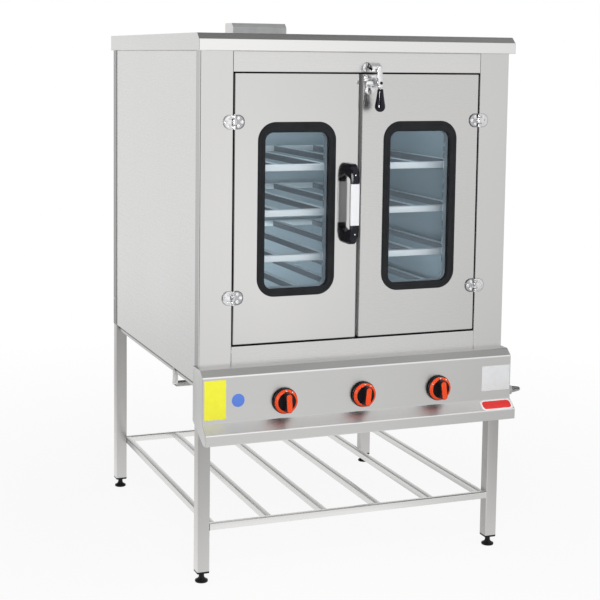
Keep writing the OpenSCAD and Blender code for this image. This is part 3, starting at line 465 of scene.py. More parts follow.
# %% [markdown]
# ## Fittings, mouldings and rubber
# Hinges, latch and gas parts are polished or cast metal, knobs and elbows are moulded plastic, and the
# seals are rubber. One colour and one roughness would do from far away, but close by a surface without any
# change looks like wax. An image for each would need unwrapping. So a noise wanders through the roughness
# or the colour of each, and where the real surface isn't smooth, a slight bump is added.

# %% Polished fittings, black mouldings, rubber and the rest
chrome = new_finish("polished_fitting", (0.86, 0.86, 0.87), metallic=1.0, roughness=0.08)
vary_value(chrome, "Roughness", noise(chrome, (160, 160, 160), 3.0), 0.05, 0.14)
emboss(chrome, noise(chrome, (60, 60, 60), 2.0), 0.0003)

leaf_metal = new_finish("hinge_leaf", (0.5, 0.5, 0.51), metallic=1.0, roughness=0.22)
vary_value(leaf_metal, "Roughness", noise(leaf_metal, (300, 300, 300), 3.0), 0.16, 0.3)
emboss(leaf_metal, noise(leaf_metal, (60, 60, 60), 2.0), 0.0004)

# Painted shade: a darker metal for the rims of the door hinges' lower plates.
leaf_rim_painted_shade = new_finish("hinge_leaf_rim_painted_shade", (0.17, 0.17, 0.18), metallic=1.0, roughness=0.3)
vary_value(leaf_rim_painted_shade, "Roughness", noise(leaf_rim_painted_shade, (300, 300, 300), 3.0), 0.24, 0.38)

grip_metal = new_finish("grip_metal", (0.93, 0.94, 0.96), metallic=0.3, roughness=0.42)
vary_value(grip_metal, "Roughness", noise(grip_metal, (900, 900, 6), 3.0), 0.36, 0.48)
emboss(grip_metal, noise(grip_metal, (900, 900, 6), 3.0), 0.00001)

black_moulding = new_finish("black_moulding", (0.013, 0.013, 0.015), roughness=0.3, Specular_IOR_Level=0.2)
vary_value(black_moulding, "Roughness", noise(black_moulding, (90, 90, 90), 3.0), 0.22, 0.38)
emboss(black_moulding, noise(black_moulding, (1400, 1400, 1400), 2.0), 0.00004)

black_gloss = new_finish("black_gloss", (0.006, 0.006, 0.012), roughness=0.14, Specular_IOR_Level=0.28)
vary_value(black_gloss, "Roughness", noise(black_gloss, (70, 70, 70), 3.0), 0.1, 0.2)
emboss(black_gloss, noise(black_gloss, (110, 110, 110), 2.0), 0.00002)

rubber = new_finish("black_rubber", (0.012, 0.013, 0.015), roughness=0.5, Specular_IOR_Level=0.25)
vary_color(rubber, noise(rubber, (30, 30, 30), 3.0), (0.009, 0.010, 0.012), (0.016, 0.017, 0.020))
vary_value(rubber, "Roughness", noise(rubber, (300, 300, 300), 3.0), 0.42, 0.6)
emboss(rubber, noise(rubber, (900, 900, 900), 2.0), 0.00008)

orange = new_finish("orange_ring", (0.93, 0.085, 0.018), roughness=0.36, Specular_IOR_Level=0.2)
vary_color(orange, noise(orange, (45, 45, 45), 2.0), (0.9, 0.075, 0.015), (0.96, 0.095, 0.022))
vary_value(orange, "Roughness", noise(orange, (500, 500, 500), 2.0), 0.24, 0.38)

zinc = new_finish("zinc_coat", (0.53, 0.535, 0.54), metallic=0.6, roughness=0.55)
vary_color(zinc, noise(zinc, (25, 25, 25), 3.0), (0.50, 0.505, 0.51), (0.56, 0.565, 0.57))
vary_value(zinc, "Roughness", noise(zinc, (60, 60, 60), 2.0), 0.48, 0.62)

white_mark = new_finish("white_mark", (0.9, 0.88, 0.86), roughness=0.45)
vary_color(white_mark, noise(white_mark, (400, 400, 400), 2.0), (0.85, 0.83, 0.81), (0.93, 0.91, 0.9))

brass = new_finish("cast_brass", (0.72, 0.52, 0.24), metallic=1.0, roughness=0.35)
vary_color(brass, noise(brass, (60, 60, 60), 4.0), (0.58, 0.4, 0.18), (0.78, 0.58, 0.28))
vary_value(brass, "Roughness", noise(brass, (200, 200, 200), 3.0), 0.28, 0.46)

burner_steel = new_finish("burner_steel", (0.16, 0.15, 0.15), metallic=0.8, roughness=0.5)
vary_color(burner_steel, noise(burner_steel, (14, 9, 30), 4.0), (0.2, 0.13, 0.1), (0.16, 0.17, 0.2))
vary_value(burner_steel, "Roughness", noise(burner_steel, (80, 80, 80), 3.0), 0.4, 0.65)

wool = new_finish("mineral_wool", (0.62, 0.55, 0.34), roughness=0.95)
vary_color(wool, noise(wool, (250, 60, 400), 6.0, 0.7), (0.5, 0.43, 0.25), (0.72, 0.66, 0.45))
emboss(wool, noise(wool, (250, 60, 400), 6.0, 0.7), 0.002)
print("thirteen plainer finishes")

# %% [markdown]
# ## Window glass
# The windows are flat panes a few millimetres thick. Glass could be made with transmission, which bends each
# ray and needs many bounces before light gets into the chamber and out again. A flat pane hardly moves what
# is seen through it. So here it is a mix of a clear surface and a mirror, in shares that the Fresnel law
# gives, and the inside stays bright and free of grain.


# %% Clear glass with a faint mirror
def window_glass():
    """Clear glass with a cold tint: each face lets light through as a pale foil does and mirrors a small
    part of it, more at a slant, as the Fresnel law says."""
    mat = new_finish("window_glass", (1.0, 1.0, 1.0), metallic=1.0, roughness=0.02)
    tree = mat.node_tree
    vary_value(mat, "Roughness", noise(mat, (12, 12, 12), 2.0), 0.0, 0.04)
    clear = tree.nodes.new("ShaderNodeBsdfTransparent")
    clear.inputs["Color"].default_value = (0.982, 0.99, 0.996, 1)
    fresnel = tree.nodes.new("ShaderNodeFresnel")
    fresnel.inputs["IOR"].default_value = 1.2
    mix = tree.nodes.new("ShaderNodeMixShader")
    tree.links.new(fresnel.outputs["Fac"], mix.inputs["Fac"])
    tree.links.new(clear.outputs["BSDF"], mix.inputs[1])
    tree.links.new(tree.nodes["Principled BSDF"].outputs["BSDF"], mix.inputs[2])
    tree.links.new(mix.outputs["Shader"], tree.nodes["Material Output"].inputs["Surface"])
    return mat


glass = window_glass()

# %% [markdown]
# ## What stays from the CAD model
# Pieces deep inside the oven, such as the burners and the insulation, are simple on the real one too. They
# could be drawn again as surfaces, but nobody would see more. So their CAD nodes stay, and each takes the
# finish of its material slot, so that nothing is left in a flat colour.

# %% Finishes of the CAD nodes
slot_finish = {
    "satin_steel": steel_level, "chamber_steel": steel_chamber, "polished_steel": chrome, "brass": brass,
    "black_plastic": black_moulding, "black_rubber": rubber, "window_glass": glass,
    "insulation_wool": wool, "burner_steel": burner_steel,
}
slots = {row["node"]: row["material_slot"] for row in frame["record"]["subparts"]}
for name, node in nodes.items():
    finish = slot_finish[slots[name]]
    if not node.data.materials:
        node.data.materials.append(finish)
    for i in range(len(node.data.materials)):
        node.data.materials[i] = finish
print("finishes set on", len(slots), "nodes")

# %% [markdown]
# ## The stand
# Four legs of 38 mm tube stand on screw feet, with 20 mm tubes between them: a frame under the cabinet and
# a shelf of open slats near the floor. Drawn tube has corners of about 2 mm radius, which catch a bright
# line of light. A cube with a Bevel modifier would have them too, but it would be solid at its ends, so
# each tube is a rounded square skin with a real wall. Where a tube meets a leg, a ground weld leaves a
# slight swelling, which a short flared sleeve gives.

# %% Legs
DECK, SHELF, PLUG_TOP = 594.0, 178.0, 35.0
LEG_X, LEG_Y = 481.0, 476.0
LEG_GAP = LEG_X - LEG / 2
LEG_SPOTS = [(sx * LEG_X, sy * LEG_Y) for sx in (-1, 1) for sy in (-1, 1)]
legs = []
for x, y in LEG_SPOTS:
    leg = square_tube("z", (x, y), PLUG_TOP, DECK, LEG, 1.5, 3.0)
    left_face, front_face = x - LEG / 2, y - LEG / 2
    # Painted shade: one face of each leg takes a darker copy of the steel.
    if x > 0:
        leg = repainted(leg, 1, x=(left_face - 0.1, left_face + 0.4))
    else:
        leg = repainted(leg, 2, y=(front_face - 0.1, front_face + 0.4))
    legs.append(leg)
make("leg_tubes", legs, "oven_frame", [steel_leg_painted_light_and_shade, steel_leg_inner_painted_shade, steel_leg_front_painted_shade], ["legs"])

# %% Rails under the cabinet
top = []
for side in (-1, 1):
    top.append(square_tube("x", (side * LEG_Y, DECK - TUBE / 2), -LEG_GAP, LEG_GAP))
    top.append(square_tube("y", (side * LEG_X, DECK - TUBE / 2), -457, 457))
# The deck rails' steel paints a dark shadow band along their tops.
make("deck_rails", top, "oven_frame", [steel_rail_painted_shadow], ["stand_top_rails"])

# %% Shelf rails and slats
def weld_sleeve(along, centre, at, out):
    """A ground weld round a tube's end: the tube's outline swells a little towards what it meets."""
    rows = [(20.1, 20.1, 2.3, at - 5 * out), (20.5, 21.0, 2.6, at - 2 * out), (20.9, 22.0, 3.0, at)]
    inner = [(19.6, 19.6, 2.0, at), (19.6, 19.6, 2.0, at - 5 * out)]
    return framed(rows + inner, along, centre, n=4)


def painted_light_top(tube):
    """A shelf tube whose top face takes a brighter finish: painted light."""
    return repainted(tube, 1, z=(SHELF - 0.4, SHELF + 2))


shelf_mid, cross_y, rail_in = SHELF - TUBE / 2, 485.0, 451.9
cross = []
for side in (-1, 1):
    cross.append(square_tube("x", (side * cross_y, shelf_mid), -LEG_GAP, LEG_GAP))
    cross += [weld_sleeve("x", (side * cross_y, shelf_mid), end * LEG_GAP, end) for end in (-1, 1)]
cross = [painted_light_top(tube) for tube in cross]
make("undershelf_cross_rails", cross, "oven_frame", [steel_cross, steel_cover_painted_light],
     ["undershelf_rails"])
deep = [square_tube("y", (side * rail_in, shelf_mid), -474.9, 474.9) for side in (-1, 1)]
slat_pitch = 2 * rail_in / 5
for i in range(1, 5):
    deep.append(square_tube("y", (-rail_in + i * slat_pitch, shelf_mid), -475, 475))
deep = [painted_light_top(tube) for tube in deep]
make("undershelf_slats", deep, "oven_frame", [steel_long, steel_cover_painted_light], ["undershelf_slats"])

# %% Plugs and levelling feet
plugs = []
for x, y in LEG_SPOTS:
    rows = [(36.4, 36.4, 3.0, 29), (LEG, LEG, 3.4, 30), (LEG, LEG, 3.4, PLUG_TOP), (34.6, 34.6, 2, PLUG_TOP),
            (34.6, 34.6, 2, 60)]
    hole = [(10.2, 10.2, 5.05, 60), (10.2, 10.2, 5.05, 29)]
    plugs.append(framed(rows + hole, "z", (x, y), n=5))
make("plug_caps", plugs, "oven_frame", [black_moulding], ["leg_plugs"])

foot = [(17.2, 0), (18.8, 0.6), (19.5, 2.0), (19.5, 4.4), (18.9, 5.8), (17.6, 6.6), (15.6, 7.0), (14.8, 7.8),
        (12.6, 9.4), (10.4, 11.6), (8.9, 13.9), (8.3, 16.4), (8.0, 19.2), (8.0, 28.9), (4.95, 29.0),
        (4.95, 84)]
FEET = ["foot_front_left", "foot_rear_left", "foot_front_right", "foot_rear_right"]
for name, spot in zip(FEET, LEG_SPOTS):
    make(name + "_turned", [turned(foot, "z", spot)], name, [black_moulding], [name])

# %% [markdown]
# ## The cabinet
# Every panel is one sheet 1.2 mm thick, folded at its edges. On the real oven a fold has an outer radius of
# about two sheets, and the cut edges are broken with a file. A flat mesh with a Solidify modifier could be
# folded too, but its thickness goes uneven in tight bends. Here the folds are arcs in the section, which
# holds both faces of the sheet, and a Bevel modifier breaks the cut edges. Both show as thin lines of
# light.

# %% Side, rear and front sheets
FRONT, REAR, ROOF, SILL, HEAD = -495.0, 495.0, 1563.0, 703.0, 1503.0
SIDE_X, HALF_OPEN, FLANGE, RECESS = 500.0, 400.0, 38.0, -451.0
flank = [(-480, ROOF), (-SIDE_X, ROOF), (-SIDE_X, DECK), (-480, DECK)]
make("side_panels", both(sheet_metal(flank, "y", FRONT + 38.2, REAR - 1.3)), "oven_frame", [steel_level],
     ["left_side_panel", "right_side_panel"], edge=0.3)
rear_x = 501.3
rear = sheet_metal([(rear_x, 452), (rear_x, REAR), (-rear_x, REAR), (-rear_x, 452)], "z", DECK, ROOF)
# The rear sheet's steel carries painted shade that deepens towards the bottom.
make("rear_sheet", [rear], "oven_frame", [steel_rear_painted_shade], ["rear_panel"], edge=0.3)


def rivet(y, z):
    """A blind rivet on the left flange of the rear sheet: a low dome with a dimple, turned about x."""
    rows = [(3.4, -0.1), (3.4, 0.3), (3.0, 1.0), (2.0, 1.5), (1.1, 1.6), (0.9, 1.1), (0.3, 1.0)]
    return turned(from_base(rows, -rear_x, -1), "x", (y, z), n=24)


rivets = [piece for z in (688, 1518) for piece in both(rivet(474, z))]
make("rear_rivets", rivets, "oven_frame", [chrome])
post = sheet_metal([(-SIDE_X, FRONT + FLANGE), (-SIDE_X, FRONT), (-HALF_OPEN, FRONT), (-HALF_OPEN, RECESS),
                    (8 - HALF_OPEN, RECESS)], "z", DECK, ROOF)
# Painted shade: the post's side return takes a darker finish.
post = repainted(post, 1, x=(-SIDE_X - 1, -SIDE_X + 2), y=(FRONT + 3, FRONT + 40))
make("front_post_sheets", both(post), "oven_frame", [steel_upright, steel_return_painted_shade],
     ["front_posts"], edge=0.3)
rail_end = 399.9
head = sheet_metal([(FRONT + FLANGE, ROOF), (FRONT, ROOF), (FRONT, HEAD), (RECESS, HEAD), (RECESS, HEAD - 8)],
                   "x", -rail_end, rail_end)
make("front_top_sheet", [head], "oven_frame", [steel_head], ["front_top_rail"], edge=0.3)
sill = sheet_metal([(RECESS, SILL + 8), (RECESS, SILL), (FRONT, SILL), (FRONT, DECK), (FRONT + FLANGE, DECK)],
                   "x", -rail_end, rail_end)
make("front_bottom_sheet", [sill], "oven_frame", [steel_sill], ["front_bottom_rail"], edge=0.3)

# %% Tray hung under the cabinet
tray = [sheet_metal([(-229, 541), (-229, 529), (-199, 529), (-199, 541)], "x", -485, 485, radius=1.8)]
hanger = outline([(481, 537), (498, 537), (498, 594), (491.3, 594), (491.3, 573.7), (481, 573.7)], 0.5, 1)
# Painted light: the hanger plates take a pale finish that isn't metallic.
tray += both(plate(hanger, "y", -230.2, -228.4, 0.3, finish=1))
make("tray_channel", tray, "oven_frame", [steel_level, steel_hanger_painted_light], ["under_tray"])

# %% [markdown]
# ## The top cover and the flue cowl
# The cover is a shallow tray turned upside down. Its front has an upright band and a sloping band above it,
# which mirrors the dark ceiling of the studio. The cowl stands at the back over the flue duct, a box of
# four walls with its front wall leaning back at the top. Boxes with moved corners would have sharp edges
# all round, so both are drawn as folded sheet with flat plates welded in at the ends.

# %% Cover
COVER = 1613.0
section = [(REAR, ROOF), (REAR, COVER), (-495, COVER), (-515, 1595), (-515, ROOF), (-483, ROOF)]
cover = [sheet_metal(section, "x", -509, 509, radius=2.6)]
end = outline(section[:5], 1.5)
# Painted light: the cover takes a lit copy of the steel, and its end plates the plainer, darker one.
cover += both(plate(end, "x", 508.8, 510, 0.5, finish=1))
lip = outline([(488, -515), (510, -515), (510, REAR), (488, REAR)], 0.6, 1)
cover += both(plate(lip, "z", ROOF - 0.01, ROOF + 1.2, 0.3))
make("cover_sheet", cover, "oven_frame", [steel_cover_painted_light, steel_level], ["top_cover"], edge=0.3)

# %% Cowl
COWL = 1664.0
(cx0, cy0, _), (cx1, cy1, _) = node_box("flue_cowl")
lean = [(cy0 + 15, COWL), (cy0, COWL - 14), (cy0, COVER)]
cowl = [sheet_metal(lean, "x", cx0, cx1, radius=1.6)]
back_wall = outline([(cx0, COVER), (cx1, COVER), (cx1, COWL), (cx0, COWL)], 0.6, 1)
cowl.append(plate(back_wall, "y", cy1 - SHEET, cy1, 0.4))
end_wall = outline([(cy1, COVER), (cy1, COWL)] + lean, 0.6, 1)
cowl += both(plate(end_wall, "x", cx1 - SHEET, cx1, 0.4, finish=1))
make("cowl_sheet", cowl, "oven_frame", [zinc, steel_level], ["flue_cowl"])

# %% [markdown]
# ## The doors
# Each door is a shallow pan of sheet with a window cut into it, its edges folded back 39 mm. A Boolean
# modifier could cut the window out of a box, but it leaves long thin faces round the corners, which shade
# badly on bright metal. As rings of points the pan starts at the window's edge, runs over the face to the
# outer fold, along the side, and back inside, so its faces flow evenly round the hole.

# %% Door skins
DOOR_W, DOOR_H, DOOR_X, DOOR_Z, DOOR_BACK = 391.0, 791.0, 200.5, 1103.5, FRONT + 38.8
WIN_W, WIN_H, WIN_R, WIN_DROP, PANE = 200.0, 460.0, 25.0, 6.0, FRONT + 12


def door_pan():
    """The right door's skin: rounded rectangles from the window's edge outwards over the face, round the
    fold of 2.4 mm radius, back along the side and, one thickness further in, home again."""
    t = np.radians(np.linspace(0, 90, 6))
    fold = np.stack([DOOR_W - 4.8 + 4.8 * np.sin(t), DOOR_H - 4.8 + 4.8 * np.sin(t), 0.7 + 1.7 * np.sin(t),
                     FRONT + 2.4 - 2.4 * np.cos(t)], 1)
    hole = (WIN_W + 24, WIN_H + 24, WIN_R + 12)
    face = [hole + (FRONT + SHEET, -WIN_DROP), hole + (FRONT, -WIN_DROP),
            (DOOR_W - 7, DOOR_H - 7, 0.5, FRONT)]
    inner = (DOOR_W - 2 * SHEET, DOOR_H - 2 * SHEET, SHEET)
    back = [(DOOR_W, DOOR_H, 2.4, DOOR_BACK), inner + (DOOR_BACK,), inner + (FRONT + SHEET,)]
    return framed(face + fold.tolist() + back, "y", (DOOR_X, DOOR_Z))


pan = door_pan()
# Painted shade: the right door's left edge takes a darker finish, for its reflection of the gap between the
# doors.
right_pan = repainted(pan, 1, x=(4.5, 5.5), y=(FRONT + 1.6, 0))
make("right_door_pan", [right_pan], "right_door", [steel_door_right, steel_gap_painted_shade],
     ["right_door_skin"], edge=0.25)
make("left_door_pan", [mirrored(pan)], "left_door", [steel_door], ["left_door_skin"],
     edge=0.25)


# %% Window gaskets
def window_seal():
    """Rubber round the glass: its section comes up from the pane, bulges 3 mm over the door, dips where the
    filler strip sits and ends on the door's face. Each point of the section is a rounded rectangle; s is its
    share of the way from the glass to the rim, whose middle lies 4 mm higher."""
    section = [(0, PANE - FRONT), (0, -1.0), (0.03, -1.9), (0.1, -2.5), (0.3, -2.9), (0.45, -2.8),
               (0.5, -2.1), (0.55, -2.1), (0.6, -2.8), (0.8, -2.9), (0.93, -2.4), (0.99, -1.4), (1, -0.02),
               (0.52, 0.0), (0.51, PANE - FRONT)]
    rows = []
    for s, y in section:
        rows.append((WIN_W + 46 * s, WIN_H + 54 * s, WIN_R + 30 * s, FRONT + y, 4 * s - WIN_DROP))
    return framed(rows, "y", (DOOR_X, DOOR_Z), n=12)


seal = window_seal()
make("right_window_seal", [seal], "right_door", [rubber], ["right_window_gasket"])
make("left_window_seal", [mirrored(seal)], "left_door", [rubber], ["left_window_gasket"])

# %% [markdown]
# ## Hinges
# The hinges are polished butterfly leaves: two wings with a step along the rim and three screws each, and a
# barrel of three knuckles between them. They could be sculpted in one piece, but the edges would go soft at
# this size. So each wing is two plates with rounded rims, one on the other, and the knuckles are turned
# pieces.

# %% Hinge leaves
HINGE_X, HINGE_Y, HINGE_ZS = 398.0, -501.0, (847.0, 1359.0)
WING_HALF, WING_END = 21.0, 32.5


def wing(direction):
    """One wing beside its pin at the origin: a plate with a round outer end, a second one on it whose outline
    is drawn in, so that a step runs along the rim, and three screw heads."""
    d = direction
    parts = []
    for inset, y0, y1, finish in ((0.0, 6.0, 3.7, 2), (2.2, 4.0, 3.0, 1)):
        half, end = WING_HALF - inset, WING_END - inset
        half_shape = [(7, half), (18, half), (end - 4.5, half - 6), (end, 6)]
        corners = half_shape + [(x, -z) for x, z in half_shape[::-1]]
        shape = outline([(x * d, z) for x, z in corners], [0.5, 7, 7, 7, 7, 7, 7, 0.5], 5)
        parts.append(plate(shape, "y", y0, y1, 0.8, finish=finish))
    for x, z in ((13, 11), (13, -11), (24, 0)):
        parts.append(screw_head(x * d, z, 3.1, 4.9, 1.7, 3))
    return parts


def knuckle(low, high):
    """One knuckle of the barrel: a tube whose ends are drawn in, so that a groove shows between two."""
    end = [(2.9, 0), (4.1, 0.5), (4.8, 1.5), (5.0, 3)]
    rows = from_base(end, low) + from_base(end[::-1], high, -1) + [(2.6, high), (2.6, low)]
    return turned(rows, "z", wrap=True, n=28)


# %% A leaf, and both doors' hinges
def hinge(direction, ends):
    """Wing and knuckles of one leaf; ends are its knuckles' heights."""
    parts = wing(direction)
    for low, high in ends:
        parts.append(knuckle(low, high))
        x0, x1 = sorted((2.8 * direction, 8 * direction))
        neck = outline([(x0, low + 0.4), (x1, low + 0.4), (x1, high - 0.4), (x0, high - 0.4)], 0.3, 1)
        parts.append(plate(neck, "y", 6.0, 3.0, 0.3))
    return parts


left_frame = hinge(-1, ((-WING_HALF, -9.3), (9.3, WING_HALF)))
left_frame.append(turned([(1.4, -22.2), (2.4, -21.6), (2.4, 21.6), (1.4, 22.2)], "z", n=20))
at_frame = [moved(p, -HINGE_X, HINGE_Y, z) for p in left_frame for z in HINGE_ZS]
at_door = [moved(p, -HINGE_X, HINGE_Y, z) for p in hinge(1, ((-9, 9),)) for z in HINGE_ZS]
# Painted shade: on both leaves the lower plate, whose rim shows round the front one, takes a darker metal.
make("hinge_wings_on_frame", at_frame + [mirrored(p) for p in at_frame], "oven_frame",
     [chrome, chrome, leaf_metal, chrome], ["hinge_frame_leaves"])
door_leaves = [chrome, leaf_metal, leaf_rim_painted_shade, grip_metal]
make("left_hinge_wings", at_door, "left_door", door_leaves, ["left_hinge_leaves"])
make("right_hinge_wings", [mirrored(p) for p in at_door], "right_door", door_leaves,
     ["right_hinge_leaves"])

# %% [markdown]
# ## The door handle
# A bright bar between two black elbows. A bevelled curve could make an elbow, but it would be round, and
# these are moulded with flat facets. So their rings are rectangles with cut corners, which stand across the
# line from the door to the bar.

# %% Handle
HANDLE_X, HANDLE_Z, GRIP_Y = -35.0, 1115.0, -540.0


def elbow():
    """The upper elbow: between an inner and an outer line stands a ring for each pair of points, a rectangle
    with its corners cut at 45 degrees, 26 mm wide and as deep as the pair is apart."""
    inner = np.array([(-495, 86), (-512, 79.5), (-524, 75), (-530, 72.8), (-532, 71.4), (-532.5, 68),
                      (-532.5, 61.5)])
    outer = np.array([(-495, 120), (-512, 120), (-526, 119.4), (-537, 111.6), (-544.5, 98), (-548, 84),
                      (-548, 61.5)])
    span = np.linalg.norm(outer - inner, axis=1)
    points, _ = rounded_rects(span, 26.0 + 0 * span, 4.6 + 0 * span, n=1)
    unit = (outer - inner) / span[:, None]
    middle = (inner + outer) / 2
    y = middle[:, :1] + unit[:, :1] * points[..., 0]
    z = middle[:, 1:] + unit[:, 1:] * points[..., 0]
    return skin(np.stack([HANDLE_X + points[..., 1], y, z], -1))


upper = elbow()
lower = (upper[0] * [1, 1, -1], upper[1][:, ::-1], [c[::-1] for c in upper[2]], 0)
elbows = [moved(upper, z=HANDLE_Z), moved(lower, z=HANDLE_Z)]
for up in (88, -88):
    elbows.append(screw_head(HANDLE_X, HANDLE_Z + up, -547.2, 2.6, 1.0, 1))
make("handle_elbows", elbows, "left_door", [black_gloss, chrome], ["handle_brackets"],
     edge=0.5)
bar = from_base([(27, 13, 3, -62), (28, 14, 3.2, -61.4), (28, 14, 3.2, 61.4), (27, 13, 3, 62)], HANDLE_Z)
make("handle_bar", [framed(bar, "z", (HANDLE_X, GRIP_Y), wrap=False)], "left_door", [grip_metal],
     ["handle_grip"])

# %% [markdown]
# ## The latch
# A cast latch on the right door: a base with a collar, a flat lever on its spindle with a black pear-shaped
# grip below, and a tongue that turns up behind the keeper on the head rail. Castings have soft edges. A
# subdivided mesh would give them, at the cost of exact outlines, so all the plates here are exact outlines
# with rims rounded by 1 to 2 mm.

# %% Keeper on the head rail
LATCH_X, LATCH_Z, LEVER_Y = 40.0, 1473.0, -545.0
keeper_x, keeper_z = LATCH_X - 5, 1518.0
ears = rounded_rects(62.0, 24.0, 10.8, 8)
keeper = [moved(plate(ears, "y", FRONT - 2.5, FRONT, 0.9), keeper_x, 0, keeper_z)]
hood = [(-495, 1534), (-501, 1534), (-513, 1531), (-530, 1522), (-536, 1514), (-536, 1506), (-531.2, 1506),
        (-531.2, 1513), (-526, 1515.8), (-512, 1517), (-497.6, 1517)]
hood = outline(hood, [0.4, 2, 5, 6, 4, 1.5, 1.5, 2, 4, 3, 0.4], 4)
keeper.append(plate(hood, "x", keeper_x - 17, keeper_x + 17, 1.6))
keeper += [screw_head(keeper_x + aside, keeper_z, FRONT - 2.4) for aside in (-23.5, 23.5)]
make("latch_keeper_cast", keeper, "oven_frame", [chrome], ["latch_keeper"])

# %% Base on the door
lobes = [(8.5, 1497), (8.5, 1476), (13, 1460), (14, 1446), (23, 1438.5), (35, 1438.5), (44, 1446), (45, 1460),
         (49.5, 1476), (49.5, 1497)]
base = [plate(outline(lobes, [5, 8, 10, 5, 4, 4, 5, 10, 8, 5], 5), "y", FRONT - 6, FRONT, 2.2)]
collar = [(15.5, 4.5), (15.2, 7.5), (13.6, 10), (12.2, 13), (12, 17), (12, 24.6), (11.4, 26), (6.1, 26),
          (6.1, 4.5)]
base.append(turned(from_base(collar, FRONT, -1), "y", (LATCH_X, LATCH_Z), wrap=True))
base += [screw_head(x, z, FRONT - 5.8) for x, z in ((16, 1489), (20, 1463), (28, 1446))]
rim = [(6.2, 5.5), (6.2, 7.8), (5.6, 8.4), (4.6, 8.4), (4.4, 7.4), (4.4, 5.5)]
base.append(turned(from_base(rim, FRONT, -1), "y", (28, 1446), wrap=True, n=28))
make("latch_base_cast", base, "right_door", [chrome], ["latch_base"])

# %% Lever, tongue and grip
arm = [(-7.5, -14), (-9.6, 0), (-11, 18), (-11, 34), (-9.5, 50), (1, 50), (4.8, 34), (6.6, 18), (7.6, 0),
       (7.5, -14)]
lever = [moved(plate(outline(arm, 3.2, 4), "y", LEVER_Y - 4, LEVER_Y + 4, 2.0), LATCH_X, 0, LATCH_Z)]
lever.append(turned([(5.92, -497), (5.92, LEVER_Y + 3)], "y", (LATCH_X, LATCH_Z), n=32))
cap = from_base([(4.6, 3.6), (4.6, 5.2), (3.9, 5.9), (2.2, 6.2)], LEVER_Y, -1)
lever.append(turned(cap, "y", (LATCH_X + 1, LATCH_Z), n=28, finish=1))
hub = outline([(-38, -5), (-38, 5), (-12, 6), (-6, 9), (5, 9), (9, 5), (9, -5), (5, -9), (-6, -9), (-12, -6)],
              [2, 2, 3, 3, 4, 4, 4, 4, 3, 3], 4)
lever.append(moved(plate(hub, "y", -528, -522, 1.2), LATCH_X, 0, LATCH_Z))
stem_z = LATCH_Z - 17
stem = from_base([(3.5, -44), (3.5, -0.2), (6.2, 0.2), (6.6, 2.4), (5.4, 4.4), (3.6, 6)], stem_z)
lever.append(turned(stem, "z", (LATCH_X, LEVER_Y), n=32))
make("latch_lever_cast", lever, "latch", [chrome, black_moulding], ["latch_lever"])
theta = np.radians(np.linspace(4, -88, 20))
pear = np.stack([15.5 * np.cos(theta), stem_z - 52.5 + 15.5 * np.sin(theta)], 1)
neck = [(3.7, 46), (3.7, 0.6), (6.4, 0.4), (7.9, 1.0), (8.6, 2.6), (9.2, 8), (10.6, 20), (12.6, 34),
        (14.6, 45)]
grip = turned(from_base(neck, stem_z, -1) + pear.tolist(), "z", (LATCH_X, LEVER_Y))
make("latch_pear_grip", [grip], "latch", [black_gloss], ["latch_grip"])

# %% [markdown]
# ## The gas panel
# One sheet folded five times makes the panel: a flat top, a sloping band, the upright face with the three
# taps, a sloping ledge and a lip with a return. Its bends are softer than the cabinet's. Its finishes paint
# light and shade: a highlight along two folds, a lighter ledge, and a darker sloping band and end plates. It
# could be a bevelled box, but then the lip would have no thickness and no return, so the section is drawn
# from end to end and closed with flat plates. Blank plates and a blank badge are glued to it.

# %% Control panel
PANEL_X, FACE_Y, TAP_Z = 505.0, -547.0, 545.0
fold_line = [(FRONT, 647), (-525, 647), (FACE_Y, 628), (FACE_Y, 493), (-580, 467), (-580, 435), (-555, 435)]
sheet = sheet_metal(fold_line, "x", -PANEL_X + 0.8, PANEL_X - 0.8, radius=[4, 4, 3, 3, 3])
# Painted light and shade on the one sheet: finish 1 paints the sloping ledge lighter, finish 2 the sloping
# band darker, and finish 3 a highlight along two folds; the end plates take finish 4, painted darker.
for finish, y_limits, z_limits in (
        (1, (-579, FACE_Y - 0.5), (468, 492)), (2, (FACE_Y + 1, -526), (629, 646)),
        (3, (-580.2, -577), (464.5, 469.5)), (3, (FACE_Y - 0.2, FACE_Y + 2), (625.5, 630.5))):
    sheet = repainted(sheet, finish, y=y_limits, z=z_limits)
panel = [sheet]
back_y, strip_x = FRONT + FLANGE, 500.1
cheek = outline(fold_line[1:] + [(back_y, 483), (back_y, 647)], [3, 3, 2, 2.4, 2.4, 2, 2, 2], 4)
panel += both(plate(cheek, "x", PANEL_X - SHEET, PANEL_X, 0.8, finish=4))
back_strip = outline([(strip_x, 483), (PANEL_X, 483), (PANEL_X, 647), (strip_x, 647)], 0.4, 1)
panel += both(plate(back_strip, "y", back_y - SHEET, back_y, 0.3))
top_strip = [(strip_x, FRONT - 1), (PANEL_X, FRONT - 1), (PANEL_X, back_y), (strip_x, back_y)]
panel += both(plate(outline(top_strip, 0.4, 1), "z", 645.8, 647, 0.3))
make("panel_sheet", panel, "oven_frame", [steel_panel, steel_ledge_painted_light, steel_chamfer_painted_shade, steel_cover_painted_light, steel_cheek_painted_shade],
     ["control_panel"], edge=0.3)


# %% Blank plates on the panel
def label(name, size, centre, radius, color, thick=0.4, rough=0.35, metallic=0.0):
    """A blank plate or foil with round corners, glued flat on the panel's face."""
    mat = new_finish(name + "_foil", color, metallic=metallic, roughness=rough)
    vary_color(mat, noise(mat, (60, 60, 60), 3.0), tuple(0.96 * c for c in color), color)
    vary_value(mat, "Roughness", noise(mat, (25, 25, 25), 3.0), rough - 0.06, rough + 0.08)
    emboss(mat, noise(mat, (40, 40, 40), 2.0), 0.0002)
    foil = plate(rounded_rects(*size, radius, 6), "y", FACE_Y - thick, FACE_Y, 0.15)
    make(name, [moved(foil, centre[0], 0, centre[1])], "oven_frame", [mat])


